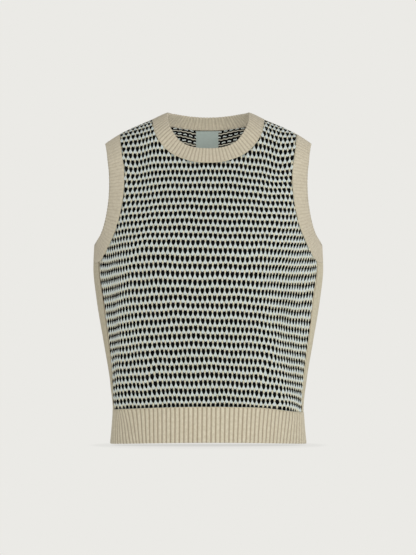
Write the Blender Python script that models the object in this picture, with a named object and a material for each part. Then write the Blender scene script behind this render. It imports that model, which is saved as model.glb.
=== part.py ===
"""Sleeveless vest of three-colour knit with plain ribbed bands, filled out with no wearer.

The cloth is a thin wall on one smooth form. A place on the form is given by two numbers: a turn
round the body (0 at the front centre, a quarter turn at the right side, a half turn at the back
centre) and a fall, the way along the cloth down from the shoulder ridge. Each piece is a stretch
of that form between its seams, with a narrow gap to its neighbours.

Metres, +Z up, the front faces -Y. The origin is midway between the two high shoulder points.
"""
import math
from typing import NamedTuple

import bmesh
import bpy
import numpy as np

MM = 0.001

# --- Cloth ---------------------------------------------------------------------------------
PANEL_WALL = 2.4 * MM
BAND_WALL = 2.6 * MM
RIB_CREST = 0.4 * MM        # a rib stands this far out of the form
RIB_GROOVE = -0.6 * MM      # the hollow between two ribs lies this far inside it
LABEL_WALL = 1.0 * MM
LABEL_LIFT = 0.4 * MM       # from the back's inside to the label
PANEL_INSET = 0.40 * MM     # a panel stops this far short of its seam
BAND_INSET = 0.15 * MM      # and a band this far

# --- Ribs and faces ------------------------------------------------------------------------
NECK_RIBS = 84
ARM_RIBS = 92
HEM_FRONT_RIBS = 66
HEM_BACK_RIBS = 58
RIB_PROFILE = ((0.00, RIB_GROOVE), (0.26, RIB_CREST), (0.74, RIB_CREST))
STRAP_CELLS = 7             # across one shoulder
FRONT_NECK_CELLS = 16       # along the bottom of the front neckline
BACK_NECK_CELLS = 14
SIDE_CELLS = 12             # across a side panel
SIDE_ROWS = 11


class PanelRows(NamedTuple):
    """Rows of faces in a panel: below the underarm, above it, and over the shoulder."""

    lower: int
    upper: int
    strap: int


FRONT_ROWS = PanelRows(lower=15, upper=13, strap=8)
BACK_ROWS = PanelRows(lower=10, upper=12, strap=7)

# --- The form ------------------------------------------------------------------------------
ROLL = 40 * MM              # height over which the cloth rolls across the shoulder ridge
SHARPNESS_LEFT = 2.05       # exponents of the front's sections: 2 is an ellipse,
SHARPNESS_RIGHT = 1.75      # less is a flatter slope from the centre to the side
SHARPNESS_BACK = 2.3


class Level(NamedTuple):
    """One level section of the body, in millimetres."""

    z: float
    half_width: float
    side_y: float
    front_y: float
    back_y: float


BODY = (
    Level(z=-536, half_width=157.0, side_y=6, front_y=-104, back_y=92),
    Level(z=-500, half_width=153.6, side_y=6, front_y=-100, back_y=89),
    Level(z=-476, half_width=152.2, side_y=7, front_y=-99, back_y=88),
    Level(z=-429, half_width=157.3, side_y=10, front_y=-102, back_y=86),
    Level(z=-365, half_width=168.0, side_y=17, front_y=-109, back_y=88),
    Level(z=-300, half_width=178.8, side_y=25, front_y=-119, back_y=94),
    Level(z=-250, half_width=184.0, side_y=29, front_y=-124, back_y=100),
    Level(z=-205, half_width=182.0, side_y=27, front_y=-117, back_y=104),
    Level(z=-150, half_width=180.5, side_y=19, front_y=-96, back_y=105),
    Level(z=-100, half_width=179.5, side_y=12, front_y=-75, back_y=98),
    Level(z=-50, half_width=178.5, side_y=8, front_y=-54, back_y=84),
    Level(z=30, half_width=178.0, side_y=5, front_y=-40, back_y=58),
)


class RidgePoint(NamedTuple):
    """A point of the shoulder ridge, seen from the front, and its depth, in millimetres."""

    x: float
    z: float
    y: float


RIDGE = (
    RidgePoint(x=-65.0, z=-1.3, y=3),
    RidgePoint(x=0.0, z=12.0, y=2),
    RidgePoint(x=65.0, z=-1.3, y=3),
    RidgePoint(x=88.6, z=-11.8, y=4),
    RidgePoint(x=142.6, z=-36.3, y=7),
    RidgePoint(x=165.4, z=-51.3, y=9),
    RidgePoint(x=186.0, z=-67.0, y=10),
)


# --- Seams ---------------------------------------------------------------------------------
class BandStation(NamedTuple):
    """Where a band's seam and its free edge stand, seen from the front, in millimetres."""

    seam_x: float
    seam_z: float
    edge_x: float
    edge_z: float


ON_RIDGE = 99.0             # a height that lies on the shoulder ridge, wherever that is

NECK_FRONT = (
    BandStation(seam_x=88.6, seam_z=ON_RIDGE, edge_x=63.6, edge_z=ON_RIDGE),
    BandStation(seam_x=86.4, seam_z=-27.5, edge_x=64.4, edge_z=-12.5),
    BandStation(seam_x=80.2, seam_z=-42.5, edge_x=60.4, edge_z=-24.5),
    BandStation(seam_x=72.0, seam_z=-54.5, edge_x=54.3, edge_z=-35.5),
    BandStation(seam_x=60.2, seam_z=-65.0, edge_x=45.8, edge_z=-46.0),
    BandStation(seam_x=44.3, seam_z=-74.0, edge_x=34.0, edge_z=-53.2),
    BandStation(seam_x=22.5, seam_z=-81.0, edge_x=17.5, edge_z=-57.4),
    BandStation(seam_x=0.0, seam_z=-82.8, edge_x=0.0, edge_z=-58.4),
)
NECK_CORNER_FRONT = 4       # the station where the strap's inner edge meets the neckline's foot

NECK_BACK = (
    NECK_FRONT[0],
    BandStation(seam_x=80.5, seam_z=-15.8, edge_x=59.8, edge_z=-1.6),
    BandStation(seam_x=67.0, seam_z=-19.4, edge_x=51.0, edge_z=-2.9),
    BandStation(seam_x=46.0, seam_z=-23.6, edge_x=35.5, edge_z=-5.1),
    BandStation(seam_x=23.0, seam_z=-27.0, edge_x=18.0, edge_z=-6.8),
    BandStation(seam_x=0.0, seam_z=-28.2, edge_x=0.0, edge_z=-7.4),
)
NECK_CORNER_BACK = 2

ARM_FRONT = (
    BandStation(seam_x=142.6, seam_z=ON_RIDGE, edge_x=165.4, edge_z=ON_RIDGE),
    BandStation(seam_x=139.6, seam_z=-61.0, edge_x=161.2, edge_z=-71.0),
    BandStation(seam_x=135.4, seam_z=-91.0, edge_x=158.0, edge_z=-96.0),
    BandStation(seam_x=135.2, seam_z=-119.0, edge_x=157.4, edge_z=-121.0),
    BandStation(seam_x=138.6, seam_z=-148.0, edge_x=159.6, edge_z=-147.0),
    BandStation(seam_x=145.8, seam_z=-180.0, edge_x=164.2, edge_z=-173.5),
    BandStation(seam_x=155.0, seam_z=-204.0, edge_x=170.0, edge_z=-192.5),
    BandStation(seam_x=166.5, seam_z=-228.0, edge_x=177.6, edge_z=-205.5),
    BandStation(seam_x=175.6, seam_z=-240.0, edge_x=180.9, edge_z=-213.0),
)
ARM_FRONT_LEVEL = 2         # the station level with the foot of the straps

ARM_BACK = (
    ARM_FRONT[0],
    BandStation(seam_x=141.6, seam_z=-62.0, edge_x=162.6, edge_z=-72.5),
    BandStation(seam_x=138.8, seam_z=-93.0, edge_x=160.2, edge_z=-98.0),
    BandStation(seam_x=138.8, seam_z=-121.0, edge_x=160.0, edge_z=-123.0),
    BandStation(seam_x=142.6, seam_z=-151.0, edge_x=162.2, edge_z=-149.0),
    BandStation(seam_x=150.4, seam_z=-184.0, edge_x=167.2, edge_z=-176.0),
    BandStation(seam_x=160.0, seam_z=-209.0, edge_x=173.2, edge_z=-194.5),
    BandStation(seam_x=173.0, seam_z=-231.0, edge_x=180.0, edge_z=-207.0),
)
ARM_BACK_LEVEL = 1
UNDERARM = BandStation(seam_x=184.0, seam_z=-238.5, edge_x=182.6, edge_z=-212.5)


class SideSeam(NamedTuple):
    """Height in millimetres, and the turn in degrees of the seams before and behind it."""

    z: float
    front_turn: float
    back_turn: float


SIDE_SEAMS = (
    SideSeam(z=-540, front_turn=83.0, back_turn=98.0),
    SideSeam(z=-476, front_turn=81.0, back_turn=100.0),
    SideSeam(z=-429, front_turn=76.5, back_turn=102.0),
    SideSeam(z=-365, front_turn=72.3, back_turn=105.5),
    SideSeam(z=-300, front_turn=69.6, back_turn=109.5),
    SideSeam(z=-240, front_turn=71.5, back_turn=113.0),
    SideSeam(z=-180, front_turn=74.0, back_turn=115.0),
)


class HemLine(NamedTuple):
    """Height of a line round the body at the front, sides and back, in millimetres."""

    front: float
    side: float
    back: float


HEM_SEAM = HemLine(front=-471.0, side=-476.5, back=-473.0)
HEM_EDGE = HemLine(front=-527.3, side=-530.6, back=-528.2)


# --- Folds ---------------------------------------------------------------------------------
class Fold(NamedTuple):
    """A soft ridge (height over 0) or trough, from its head to its foot, in millimetres."""

    head_x: float
    head_z: float
    foot_x: float
    foot_z: float
    half_width: float
    height: float


FRONT_FOLDS = (
    Fold(head_x=-136, head_z=-225, foot_x=-137, foot_z=-495, half_width=13, height=6.0),
    Fold(head_x=-156, head_z=-240, foot_x=-149, foot_z=-440, half_width=9, height=-3.5),
    Fold(head_x=104, head_z=-215, foot_x=140, foot_z=-490, half_width=17, height=-6.5),
    Fold(head_x=134, head_z=-250, foot_x=120, foot_z=-470, half_width=15, height=3.0),
    Fold(head_x=-84, head_z=-300, foot_x=-96, foot_z=-510, half_width=24, height=-3.0),
    Fold(head_x=40, head_z=-330, foot_x=52, foot_z=-520, half_width=26, height=2.6),
)
BACK_FOLDS = (
    Fold(head_x=-62, head_z=-250, foot_x=-88, foot_z=-505, half_width=22, height=-6.0),
    Fold(head_x=28, head_z=-290, foot_x=14, foot_z=-500, half_width=24, height=5.0),
    Fold(head_x=96, head_z=-215, foot_x=112, foot_z=-470, half_width=20, height=-5.0),
)

# --- Label ---------------------------------------------------------------------------------
LABEL_WIDTH = 36.0 * MM
LABEL_LENGTH = 34.0 * MM
LABEL_CENTRE_X = -1.8 * MM
LABEL_TOP_BELOW_SEAM = 1.4 * MM
LABEL_CELLS = (4, 4)


class Finish(NamedTuple):
    """A material: its name, linear colour and roughness."""

    name: str
    colour: tuple
    roughness: float


PATTERN_KNIT = Finish("pattern_knit", (0.30, 0.315, 0.28), 0.92)
CREAM_RIB = Finish("cream_rib", (0.56, 0.50, 0.37), 0.93)
WOVEN_LABEL = Finish("woven_label", (0.35, 0.41, 0.37), 0.75)


# --- Curves --------------------------------------------------------------------------------
def through(xs, ys, at):
    """Smooth curve through the points (xs, ys) that never overshoots them, read at `at`."""
    xs, ys = np.asarray(xs, float), np.asarray(ys, float)
    step = np.diff(xs)
    rise = np.diff(ys) / step
    slope = np.zeros_like(ys)
    same_way = rise[1:] * rise[:-1] > 0
    before, after = 2 * step[1:] + step[:-1], step[1:] + 2 * step[:-1]
    with np.errstate(divide="ignore", invalid="ignore"):
        mean = (before + after) / (before / rise[:-1] + after / rise[1:])
    slope[1:-1] = np.where(same_way, mean, 0.0)
    slope[0], slope[-1] = rise[0], rise[-1]
    at = np.clip(at, xs[0], xs[-1])
    i = np.clip(np.searchsorted(xs, at) - 1, 0, len(step) - 1)
    t = (at - xs[i]) / step[i]
    start = ys[i] * (1 + 2 * t) * (1 - t) ** 2 + ys[i + 1] * t * t * (3 - 2 * t)
    return start + step[i] * t * (1 - t) * (slope[i] * (1 - t) - slope[i + 1] * t)


def read(table, key, column, at):
    """A column of a table of millimetres against its key column, read in metres."""
    keys = [getattr(row, key) * MM for row in table]
    return through(keys, [getattr(row, column) for row in table], at)


def spline(rows, u):
    """Catmull-Rom curve through rows[1:-1]; whole numbers of u fall on those rows."""
    rows = np.asarray(rows, float)
    i = np.clip(np.floor(u).astype(int), 0, len(rows) - 4)
    t = (u - i)[:, None]
    a, b, c, d = rows[i], rows[i + 1], rows[i + 2], rows[i + 3]
    return b + 0.5 * t * (c - a + t * (2 * a - 5 * b + 4 * c - d + t * (3 * (b - c) + d - a)))


# --- The form ------------------------------------------------------------------------------
def ridge_height(x):
    """Height of the shoulder ridge at x."""
    return read(RIDGE, "x", "z", np.abs(x)) * MM


def fall_of(drop):
    """Way along the cloth for a drop below the ridge: a quarter roll, then straight down."""
    inside = np.arccos(np.clip(1 - drop / ROLL, -1, 1)) * ROLL
    return np.where(drop < ROLL, inside, ROLL * (math.pi / 2 - 1) + drop)


def drop_of(fall):
    """Drop below the ridge after a way along the cloth, the inverse of fall_of."""
    rolled = ROLL * (1 - np.cos(np.minimum(np.abs(fall) / ROLL, math.pi / 2)))
    return rolled + np.maximum(fall - ROLL * math.pi / 2, 0)


def place(x, z, back=False):
    """Turn and fall of the point that stands at (x, z) seen from the front, in metres."""
    turn = math.asin(max(-1.0, min(1.0, x / float(read(BODY, "z", "half_width", z) * MM))))
    fall = float(fall_of(max(0.0, float(ridge_height(x)) - z)))
    return (math.pi - turn if back else turn), fall


def level_place(turn, z):
    """Turn and fall of points given by their turn and height, as an array of pairs."""
    x = read(BODY, "z", "half_width", z) * MM * np.sin(turn)
    return np.stack([turn, fall_of(ridge_height(x) - z)], axis=-1)


def plain_form(turn, fall):
    """Points of the smooth form, without its folds.

    A level section is x = w sin(turn) and y = side -+ depth (1 - |sin(turn)|^n)^(1/n). Near the
    ridge the depth is drawn in to the ridge's own y by the sine of the roll.
    """
    drop = drop_of(fall)
    x = BODY[-1].half_width * MM * np.sin(turn)
    for _ in range(10):
        z = ridge_height(x) - drop
        x = read(BODY, "z", "half_width", z) * MM * np.sin(turn)
    front = np.cos(turn) > 0
    sharp = np.where(front, np.where(x < 0, SHARPNESS_LEFT, SHARPNESS_RIGHT), SHARPNESS_BACK)
    out = np.maximum(1 - np.abs(np.sin(turn)) ** sharp, 0) ** (1 / sharp)
    side = read(BODY, "z", "side_y", z)
    far = np.where(front, read(BODY, "z", "front_y", z), read(BODY, "z", "back_y", z))
    ridge = read(RIDGE, "x", "y", np.abs(x))
    rolled = np.sin(np.clip(fall / ROLL, -math.pi / 2, math.pi / 2))
    y = (ridge + (side + (far - side) * out - ridge) * rolled) * MM
    return np.stack([x, y, z], axis=-1)


def outward(surface, turn, fall, step=0.5 * MM):
    """Unit normals of a surface of (turn, fall), which point away from the body."""
    along = surface(turn + step / 0.17, fall) - surface(turn - step / 0.17, fall)
    down = surface(turn, fall + step) - surface(turn, fall - step)
    normal = np.cross(down, along)
    return normal / np.linalg.norm(normal, axis=-1, keepdims=True)


def fold_height(points, turn):
    """Height of the folds: each fades at its head and foot and dies away to its sides."""
    x, z = points[..., 0] / MM, points[..., 2] / MM
    height = np.zeros_like(x)
    for folds, here in ((FRONT_FOLDS, np.cos(turn) > 0), (BACK_FOLDS, np.cos(turn) <= 0)):
        for fold in folds:
            along = np.clip((z - fold.head_z) / (fold.foot_z - fold.head_z), 0, 1)
            across = x - fold.head_x - along * (fold.foot_x - fold.head_x)
            swell = np.sin(math.pi * along) ** 0.8
            height += here * fold.height * swell * np.exp(-(across / fold.half_width) ** 2)
    return height * MM


def form(turn, fall):
    """Points of the form with its folds."""
    points = plain_form(turn, fall)
    return points + outward(plain_form, turn, fall) * fold_height(points, turn)[..., None]


def lifted(places, height):
    """Points at a height over the form, for an array of (turn, fall) pairs."""
    turn, fall = places[..., 0], places[..., 1]
    return form(turn, fall) + outward(form, turn, fall) * np.asarray(height)[..., None]


# --- Seam curves ---------------------------------------------------------------------------
def station_places(stations, back):
    """Seam and edge places of stations at the right side, as rows of four numbers."""
    rows = []
    for s in stations:
        seam_z = float(ridge_height(s.seam_x * MM)) if s.seam_z == ON_RIDGE else s.seam_z * MM
        edge_z = float(ridge_height(s.edge_x * MM)) if s.edge_z == ON_RIDGE else s.edge_z * MM
        seam = place(s.seam_x * MM, seam_z, back)
        rows.append((*seam, *place(s.edge_x * MM, edge_z, back)))
    return np.array(rows)


def over_ridge(row):
    """The same row continued over the ridge: counted from the other side of the body."""
    return np.array([math.pi - row[0], -row[1], math.pi - row[2], -row[3]])


def mirrored(row, centre):
    """A row mirrored in the plane x = 0, for curves round the front or the back centre."""
    return np.array([2 * centre - row[0], row[1], 2 * centre - row[2], row[3]])


def arm_halves():
    """Spline rows of the right armhole, ridge to underarm, in front and behind."""
    front, back = station_places(ARM_FRONT, False), station_places(ARM_BACK, True)
    under = station_places([UNDERARM], False)
    under[:, [0, 2]] = math.pi / 2
    ahead = np.vstack([over_ridge(back[1])[None], front, under, back[-1:]])
    behind = np.vstack([over_ridge(front[1])[None], back, under, front[-1:]])
    return ahead, behind


def neck_halves():
    """Spline rows of the neckline from the right ridge round the front, and round the back."""
    front, back = station_places(NECK_FRONT, False), station_places(NECK_BACK, True)
    left_front = np.array([mirrored(row, 0.0) for row in front[-2::-1]])
    left_back = np.array([mirrored(row, math.pi) for row in back[-2::-1]])
    ahead = np.vstack([over_ridge(back[1])[None], front, left_front])
    ahead = np.vstack([ahead, mirrored(over_ridge(back[1]), 0.0)[None]])
    behind = np.vstack([over_ridge(front[1])[None], back, left_back])
    behind = np.vstack([behind, mirrored(over_ridge(front[1]), math.pi)[None]])
    return ahead, behind


def band_width(rows, u):
    """Width of a band across its cloth at each u of its spline."""
    pair = spline(rows, u)
    return np.linalg.norm(form(pair[:, 0], pair[:, 1]) - form(pair[:, 2], pair[:, 3]), axis=1)


def across_band(rows, u, past_seam):
    """Places at a distance past the seam: over 0 on the band, under 0 on the panel."""
    pair = spline(rows, u)
    part = (past_seam / band_width(rows, u))[:, None]
    return pair[:, :2] * (1 - part) + pair[:, 2:] * part


def even(count, rows, start, stop):
    """Values of u that part a seam between start and stop into `count` equal lengths."""
    u = np.linspace(start, stop, 400)
    line = spline(rows, u)
    points = form(line[:, 0], line[:, 1])
    way = np.concatenate([[0], np.cumsum(np.linalg.norm(np.diff(points, axis=0), axis=1))])
    return np.interp(np.linspace(0, way[-1], count + 1), way, u)


def side_turn(column, z):
    """Turn of the front or back side seam at a height."""
    return np.radians(read(SIDE_SEAMS, "z", column, z))


def hem_height(line, turn):
    """Height of a hem line: it falls from the front and the back toward the sides."""
    middle = np.where(np.cos(turn) > 0, line.front, line.back)
    return (line.side + (middle - line.side) * np.cos(turn) ** 2) * MM


# --- Meshes --------------------------------------------------------------------------------
def make_object(name, points, faces, finish, collection):
    """One closed mesh object with its faces turned out and its own material."""
    mesh = bpy.data.meshes.new(name)
    mesh.from_pydata([tuple(p) for p in points], [], faces)
    work = bmesh.new()
    work.from_mesh(mesh)
    bmesh.ops.recalc_face_normals(work, faces=work.faces)
    work.to_mesh(mesh)
    work.free()
    mesh.shade_smooth()
    mesh.set_sharp_from_angle(angle=math.radians(48))
    mesh.materials.append(material(name, finish))
    piece = bpy.data.objects.new(name, mesh)
    collection.objects.link(piece)
    return piece


def material(name, finish):
    """A Principled material for one piece."""
    made = bpy.data.materials.new(f"{name}_{finish.name}")
    made.use_nodes = True
    shader = made.node_tree.nodes["Principled BSDF"]
    shader.inputs["Base Color"].default_value = (*finish.colour, 1.0)
    shader.inputs["Roughness"].default_value = finish.roughness
    shader.inputs["Metallic"].default_value = 0.0
    made.diffuse_color = (*finish.colour, 1.0)
    return made


def patch(bottom, top, left, right):
    """Coons patch of places between four border lines that share their corners."""
    s = np.linspace(0, 1, len(bottom))[None, :, None]
    t = np.linspace(0, 1, len(left))[:, None, None]
    ruled = (1 - t) * bottom[None] + t * top[None] + (1 - s) * left[:, None]
    ruled = ruled + s * right[:, None]
    corners = (1 - t) * ((1 - s) * bottom[0] + s * bottom[-1])
    return ruled - corners - t * ((1 - s) * top[0] + s * top[-1])


def line(start, stop, cells):
    """Straight line of places."""
    part = np.linspace(0, 1, cells + 1)[:, None]
    return np.asarray(start) * (1 - part) + np.asarray(stop) * part


def wall(places, outer, inner):
    """Points and faces of a wall over a grid of places; absent places are NaN.

    Both skins stand on the form's own normals, so the rims at the two sides of a seam are
    parallel. The border of the grid is closed with one rim face to each of its edges.
    """
    rows, columns = places.shape[:2]
    there = ~np.isnan(places[..., 0])
    number = np.full((rows, columns), -1)
    number[there] = np.arange(there.sum())
    flat = places[there]
    points = np.vstack([lifted(flat, np.full(len(flat), h)) for h in (outer, inner)])
    total = len(flat)
    quads = []
    for r in range(rows - 1):
        for c in range(columns - 1):
            cell = (number[r, c], number[r, c + 1], number[r + 1, c + 1], number[r + 1, c])
            if min(cell) >= 0:
                quads.append(tuple(int(v) for v in cell))
    edges = {(q[k], q[(k + 1) % 4]) for q in quads for k in range(4)}
    rim = [(a, b, b + total, a + total) for a, b in sorted(edges) if (b, a) not in edges]
    inside = [tuple(v + total for v in reversed(q)) for q in quads]
    return points, quads + inside + [tuple(reversed(face)) for face in rim]


def ribbed(lines, ribs, closed):
    """Points and faces of a ribbed band.

    `lines` gives, for fractions of the way round, a list of lines of places from one edge of
    the band to the other. The ribs are raised in the outer skin over a plain inner one, and
    each rib's end is one flat face.
    """
    steps = len(RIB_PROFILE)
    offsets = np.array([(i + f) / ribs for i in range(ribs) for f, _ in RIB_PROFILE])
    heights = np.tile([h for _, h in RIB_PROFILE], ribs)
    plain = np.arange(ribs) / ribs
    if not closed:
        offsets, heights = np.append(offsets, 1.0), np.append(heights, RIB_GROOVE)
        plain = np.append(plain, 1.0)
    outer = [lifted(row, heights) for row in lines(offsets)]
    inner = [lifted(row, np.full(len(plain), -BAND_WALL)) for row in lines(plain)]
    wide, narrow, rows = len(offsets), len(plain), len(outer)
    faces = []

    def out(r, i):
        return r * wide + i % wide

    def inn(r, i):
        return rows * wide + r * narrow + i % narrow

    for r in range(rows - 1):
        for i in range(ribs * steps):
            faces.append((out(r, i), out(r, i + 1), out(r + 1, i + 1), out(r + 1, i)))
        for i in range(ribs):
            faces.append((inn(r, i), inn(r + 1, i), inn(r + 1, i + 1), inn(r, i + 1)))
        if not closed:
            last, end = ribs * steps, ribs
            faces.append((out(r, 0), out(r + 1, 0), inn(r + 1, 0), inn(r, 0)))
            faces.append((out(r, last), inn(r, end), inn(r + 1, end), out(r + 1, last)))
    for r in (0, rows - 1):
        for i in range(ribs):
            crown = [out(r, i * steps + k) for k in range(steps + 1)]
            faces.append((*crown, inn(r, i + 1), inn(r, i)))
    return np.vstack(outer + inner), faces


# --- Pieces --------------------------------------------------------------------------------
def panel_places(front):
    """Places of the front or back panel: two blocks below the neckline and two straps."""
    centre, way = (0.0, 1.0) if front else (math.pi, -1.0)
    rows = FRONT_ROWS if front else BACK_ROWS
    neck_cells = FRONT_NECK_CELLS if front else BACK_NECK_CELLS
    arm = arm_halves()[0 if front else 1]
    neck = neck_halves()[0 if front else 1]
    level = ARM_FRONT_LEVEL if front else ARM_BACK_LEVEL
    corner = NECK_CORNER_FRONT if front else NECK_CORNER_BACK
    last = len(neck) - 3
    column = "front_turn" if front else "back_turn"
    cells = 2 * STRAP_CELLS + neck_cells

    def other(places):
        """The same line of places at the left side."""
        return np.stack([2 * centre - places[..., 0], places[..., 1]], axis=-1)

    def seam_side(z):
        """Turn of the panel's right edge along the side seam."""
        return side_turn(column, z) - way * PANEL_INSET / 0.15

    u = np.linspace(level, len(arm) - 3, 600)
    arm_line = across_band(arm, u, -PANEL_INSET)
    seen = form(arm_line[:, 0], arm_line[:, 1])
    apart = way * (arm_line[:, 0] - seam_side(seen[:, 2]))
    meet = float(np.interp(0.0, apart, u))
    under = across_band(arm, np.array([meet]), -PANEL_INSET)[0]

    turn = seam_side(HEM_SEAM.side * MM)
    turns = np.linspace(2 * centre - turn, turn, cells + 1)
    foot = level_place(turns, hem_height(HEM_SEAM, turns) + PANEL_INSET)
    under_z = float(form(under[None, 0], under[None, 1])[0, 2])
    heights = np.linspace(float(form(foot[-1:, 0], foot[-1:, 1])[0, 2]), under_z, rows.lower + 1)
    side = level_place(seam_side(heights), heights)
    side[-1] = under
    turns = np.linspace(2 * centre - under[0], under[0], cells + 1)
    waist = level_place(turns, np.full(cells + 1, under_z))
    waist[0], waist[-1] = other(under), under
    lower = patch(foot, waist, other(side), side)

    rise = across_band(arm, np.linspace(meet, level, rows.upper + 1), -PANEL_INSET)
    base = across_band(neck, even(neck_cells, neck, last - corner, corner), -PANEL_INSET)
    shelf = line(other(rise[-1]), base[0], STRAP_CELLS)
    right_shelf = line(base[-1], rise[-1], STRAP_CELLS)
    chest = np.vstack([shelf, base[1:-1], right_shelf])
    upper = patch(waist, chest, other(rise), rise)

    outer = across_band(arm, even(rows.strap, arm, level, 0), -PANEL_INSET)
    inner = across_band(neck, even(rows.strap, neck, corner, 0), -PANEL_INSET)
    outer[-1, 1] = inner[-1, 1] = PANEL_INSET
    right = patch(right_shelf, line(inner[-1], outer[-1], STRAP_CELLS), inner, outer)
    left = other(right)[:, ::-1]

    whole = np.full((rows.lower + rows.upper + rows.strap + 1, cells + 1, 2), np.nan)
    whole[: rows.lower + 1] = lower
    whole[rows.lower : rows.lower + rows.upper + 1] = upper
    whole[rows.lower + rows.upper :, : STRAP_CELLS + 1] = left
    whole[rows.lower + rows.upper :, -STRAP_CELLS - 1 :] = right
    whole[rows.lower + rows.upper] = upper[-1]
    return whole


def side_panel_places():
    """Places of the right side panel, from its front seam to its back seam."""
    ahead, behind = arm_halves()
    lines = []
    for rows in (ahead, behind):
        u = np.linspace(len(rows) - 7, len(rows) - 3, 200)
        lines.append(across_band(rows, u, -PANEL_INSET))
    top = np.vstack([lines[0], lines[1][-2::-1]])
    top_z = form(top[:, 0], top[:, 1])[:, 2]
    start = side_turn("front_turn", top_z) + PANEL_INSET / 0.15
    stop = side_turn("back_turn", top_z) - PANEL_INSET / 0.15
    inside = (top[:, 0] >= start) & (top[:, 0] <= stop)
    kept, kept_z = top[inside], top_z[inside]
    turns = np.linspace(kept[0, 0], kept[-1, 0], SIDE_CELLS + 1)
    head = np.stack([turns, np.interp(turns, kept[:, 0], kept[:, 1])], axis=-1)
    rows = SIDE_ROWS
    borders = []
    for column, inset, z in (
        ("front_turn", PANEL_INSET, kept_z[0]),
        ("back_turn", -PANEL_INSET, kept_z[-1]),
    ):
        low = HEM_SEAM.side * MM + PANEL_INSET
        heights = np.linspace(low, z, rows + 1)
        borders.append(level_place(side_turn(column, heights) + inset / 0.15, heights))
    borders[0][-1], borders[1][-1] = head[0], head[-1]
    turns = np.linspace(borders[0][0, 0], borders[1][0, 0], SIDE_CELLS + 1)
    foot = level_place(turns, hem_height(HEM_SEAM, turns) + PANEL_INSET)
    borders[0][0], borders[1][0] = foot[0], foot[-1]
    return patch(foot, head, borders[0], borders[1])


def band_lines(halves, spans, sides, strips):
    """The function of way round for a band that runs over several stretches of spline.

    Args:
        halves: the spline rows of each stretch.
        spans: the u at which each stretch starts and stops.
        sides: 1 for the right side of the body and -1 for the left, for each stretch.
        strips: the strips of faces across the band.
    """
    count = 700
    rows, u, side = [], [], []
    for number, (start, stop) in enumerate(spans):
        rows += [number] * count
        u += list(np.linspace(start, stop, count))
        side += [sides[number]] * count
    rows, u, side = np.array(rows), np.array(u), np.array(side)
    pairs = np.empty((len(u), 4))
    for number, half in enumerate(halves):
        here = rows == number
        pairs[here] = spline(half, u[here])
    pairs[:, [0, 2]] *= side[:, None]
    middle = (form(pairs[:, 0], pairs[:, 1]) + form(pairs[:, 2], pairs[:, 3])) / 2
    way = np.concatenate([[0], np.cumsum(np.linalg.norm(np.diff(middle, axis=0), axis=1))])
    way = way / way[-1]

    def lines(fractions):
        """Lines of places from the seam to the free edge at fractions of the way round."""
        made = [np.empty((len(fractions), 2)) for _ in range(strips + 1)]
        for number, half in enumerate(halves):
            here = rows == number
            low, high = way[here][0], way[here][-1]
            mine = (fractions >= low - 1e-12) & (fractions <= high + 1e-12)
            at = np.interp(fractions[mine], way[here], u[here])
            pair = spline(half, at)
            for strip in range(strips + 1):
                part = max(BAND_INSET / band_width(half, at).mean(), strip / strips)
                places = pair[:, :2] * (1 - part) + pair[:, 2:] * part
                places[:, 0] *= sides[number]
                made[strip][mine] = places
        return made

    return lines


def hem_lines(start, stop):
    """The function of way round for a hem band between two turns."""

    def lines(fractions):
        """Lines of places from the hem seam to the hem edge."""
        turn = start + (stop - start) * fractions
        top = level_place(turn, hem_height(HEM_SEAM, turn) - BAND_INSET)
        return [top, level_place(turn, hem_height(HEM_EDGE, turn))]

    return lines


def build_panels(collection):
    """The two patterned panels and the two plain side panels."""
    for name, front in (("front", True), ("back", False)):
        points, faces = wall(panel_places(front), 0.0, -PANEL_WALL)
        make_object(name, points, faces, PATTERN_KNIT, collection)
    right = side_panel_places()
    left = right * np.array([-1.0, 1.0])
    for name, places in (("side_panel_right", right), ("side_panel_left", left)):
        points, faces = wall(places, 0.0, -PANEL_WALL)
        make_object(name, points, faces, CREAM_RIB, collection)


def build_bands(collection):
    """The ribbed neckband, armbands and hem bands."""
    ahead, behind = neck_halves()
    spans = ((0, len(ahead) - 3), (len(behind) - 3, 0))
    neck = band_lines((ahead, behind), spans, (1, 1), strips=2)
    points, faces = ribbed(neck, NECK_RIBS, closed=True)
    make_object("neckband", points, faces, CREAM_RIB, collection)

    ahead, behind = arm_halves()
    spans = ((0, len(ahead) - 3), (len(behind) - 3, 0))
    for name, side in (("armband_right", 1), ("armband_left", -1)):
        arm = band_lines((ahead, behind), spans, (side, side), strips=1)
        points, faces = ribbed(arm, ARM_RIBS, closed=True)
        make_object(name, points, faces, CREAM_RIB, collection)

    gap = BAND_INSET / 0.12
    quarter = math.pi / 2
    for name, start, stop, ribs in (
        ("hem_front", gap - quarter, quarter - gap, HEM_FRONT_RIBS),
        ("hem_back", quarter + gap, 3 * quarter - gap, HEM_BACK_RIBS),
    ):
        points, faces = ribbed(hem_lines(start, stop), ribs, closed=False)
        make_object(name, points, faces, CREAM_RIB, collection)


def build_label(collection):
    """The bare label inside the back, made from the back's own inner points, moved in."""
    across, down = LABEL_CELLS
    x = LABEL_CENTRE_X + np.linspace(-0.5, 0.5, across + 1) * LABEL_WIDTH
    top = NECK_BACK[-1].seam_z * MM - LABEL_TOP_BELOW_SEAM
    z = top - np.linspace(0, 1, down + 1) * LABEL_LENGTH
    places = np.array([[place(a, b, back=True) for a in x] for b in z])
    outer = -PANEL_WALL - LABEL_LIFT
    points, faces = wall(places, outer, outer - LABEL_WALL)
    make_object("label", points, faces, WOVEN_LABEL, collection)


def main():
    """Clear the scene and build every piece."""
    for item in list(bpy.data.objects):
        bpy.data.objects.remove(item, do_unlink=True)
    collection = bpy.data.collections.new("knit_vest")
    bpy.context.scene.collection.children.link(collection)
    build_panels(collection)
    build_bands(collection)
    build_label(collection)


main()
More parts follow.
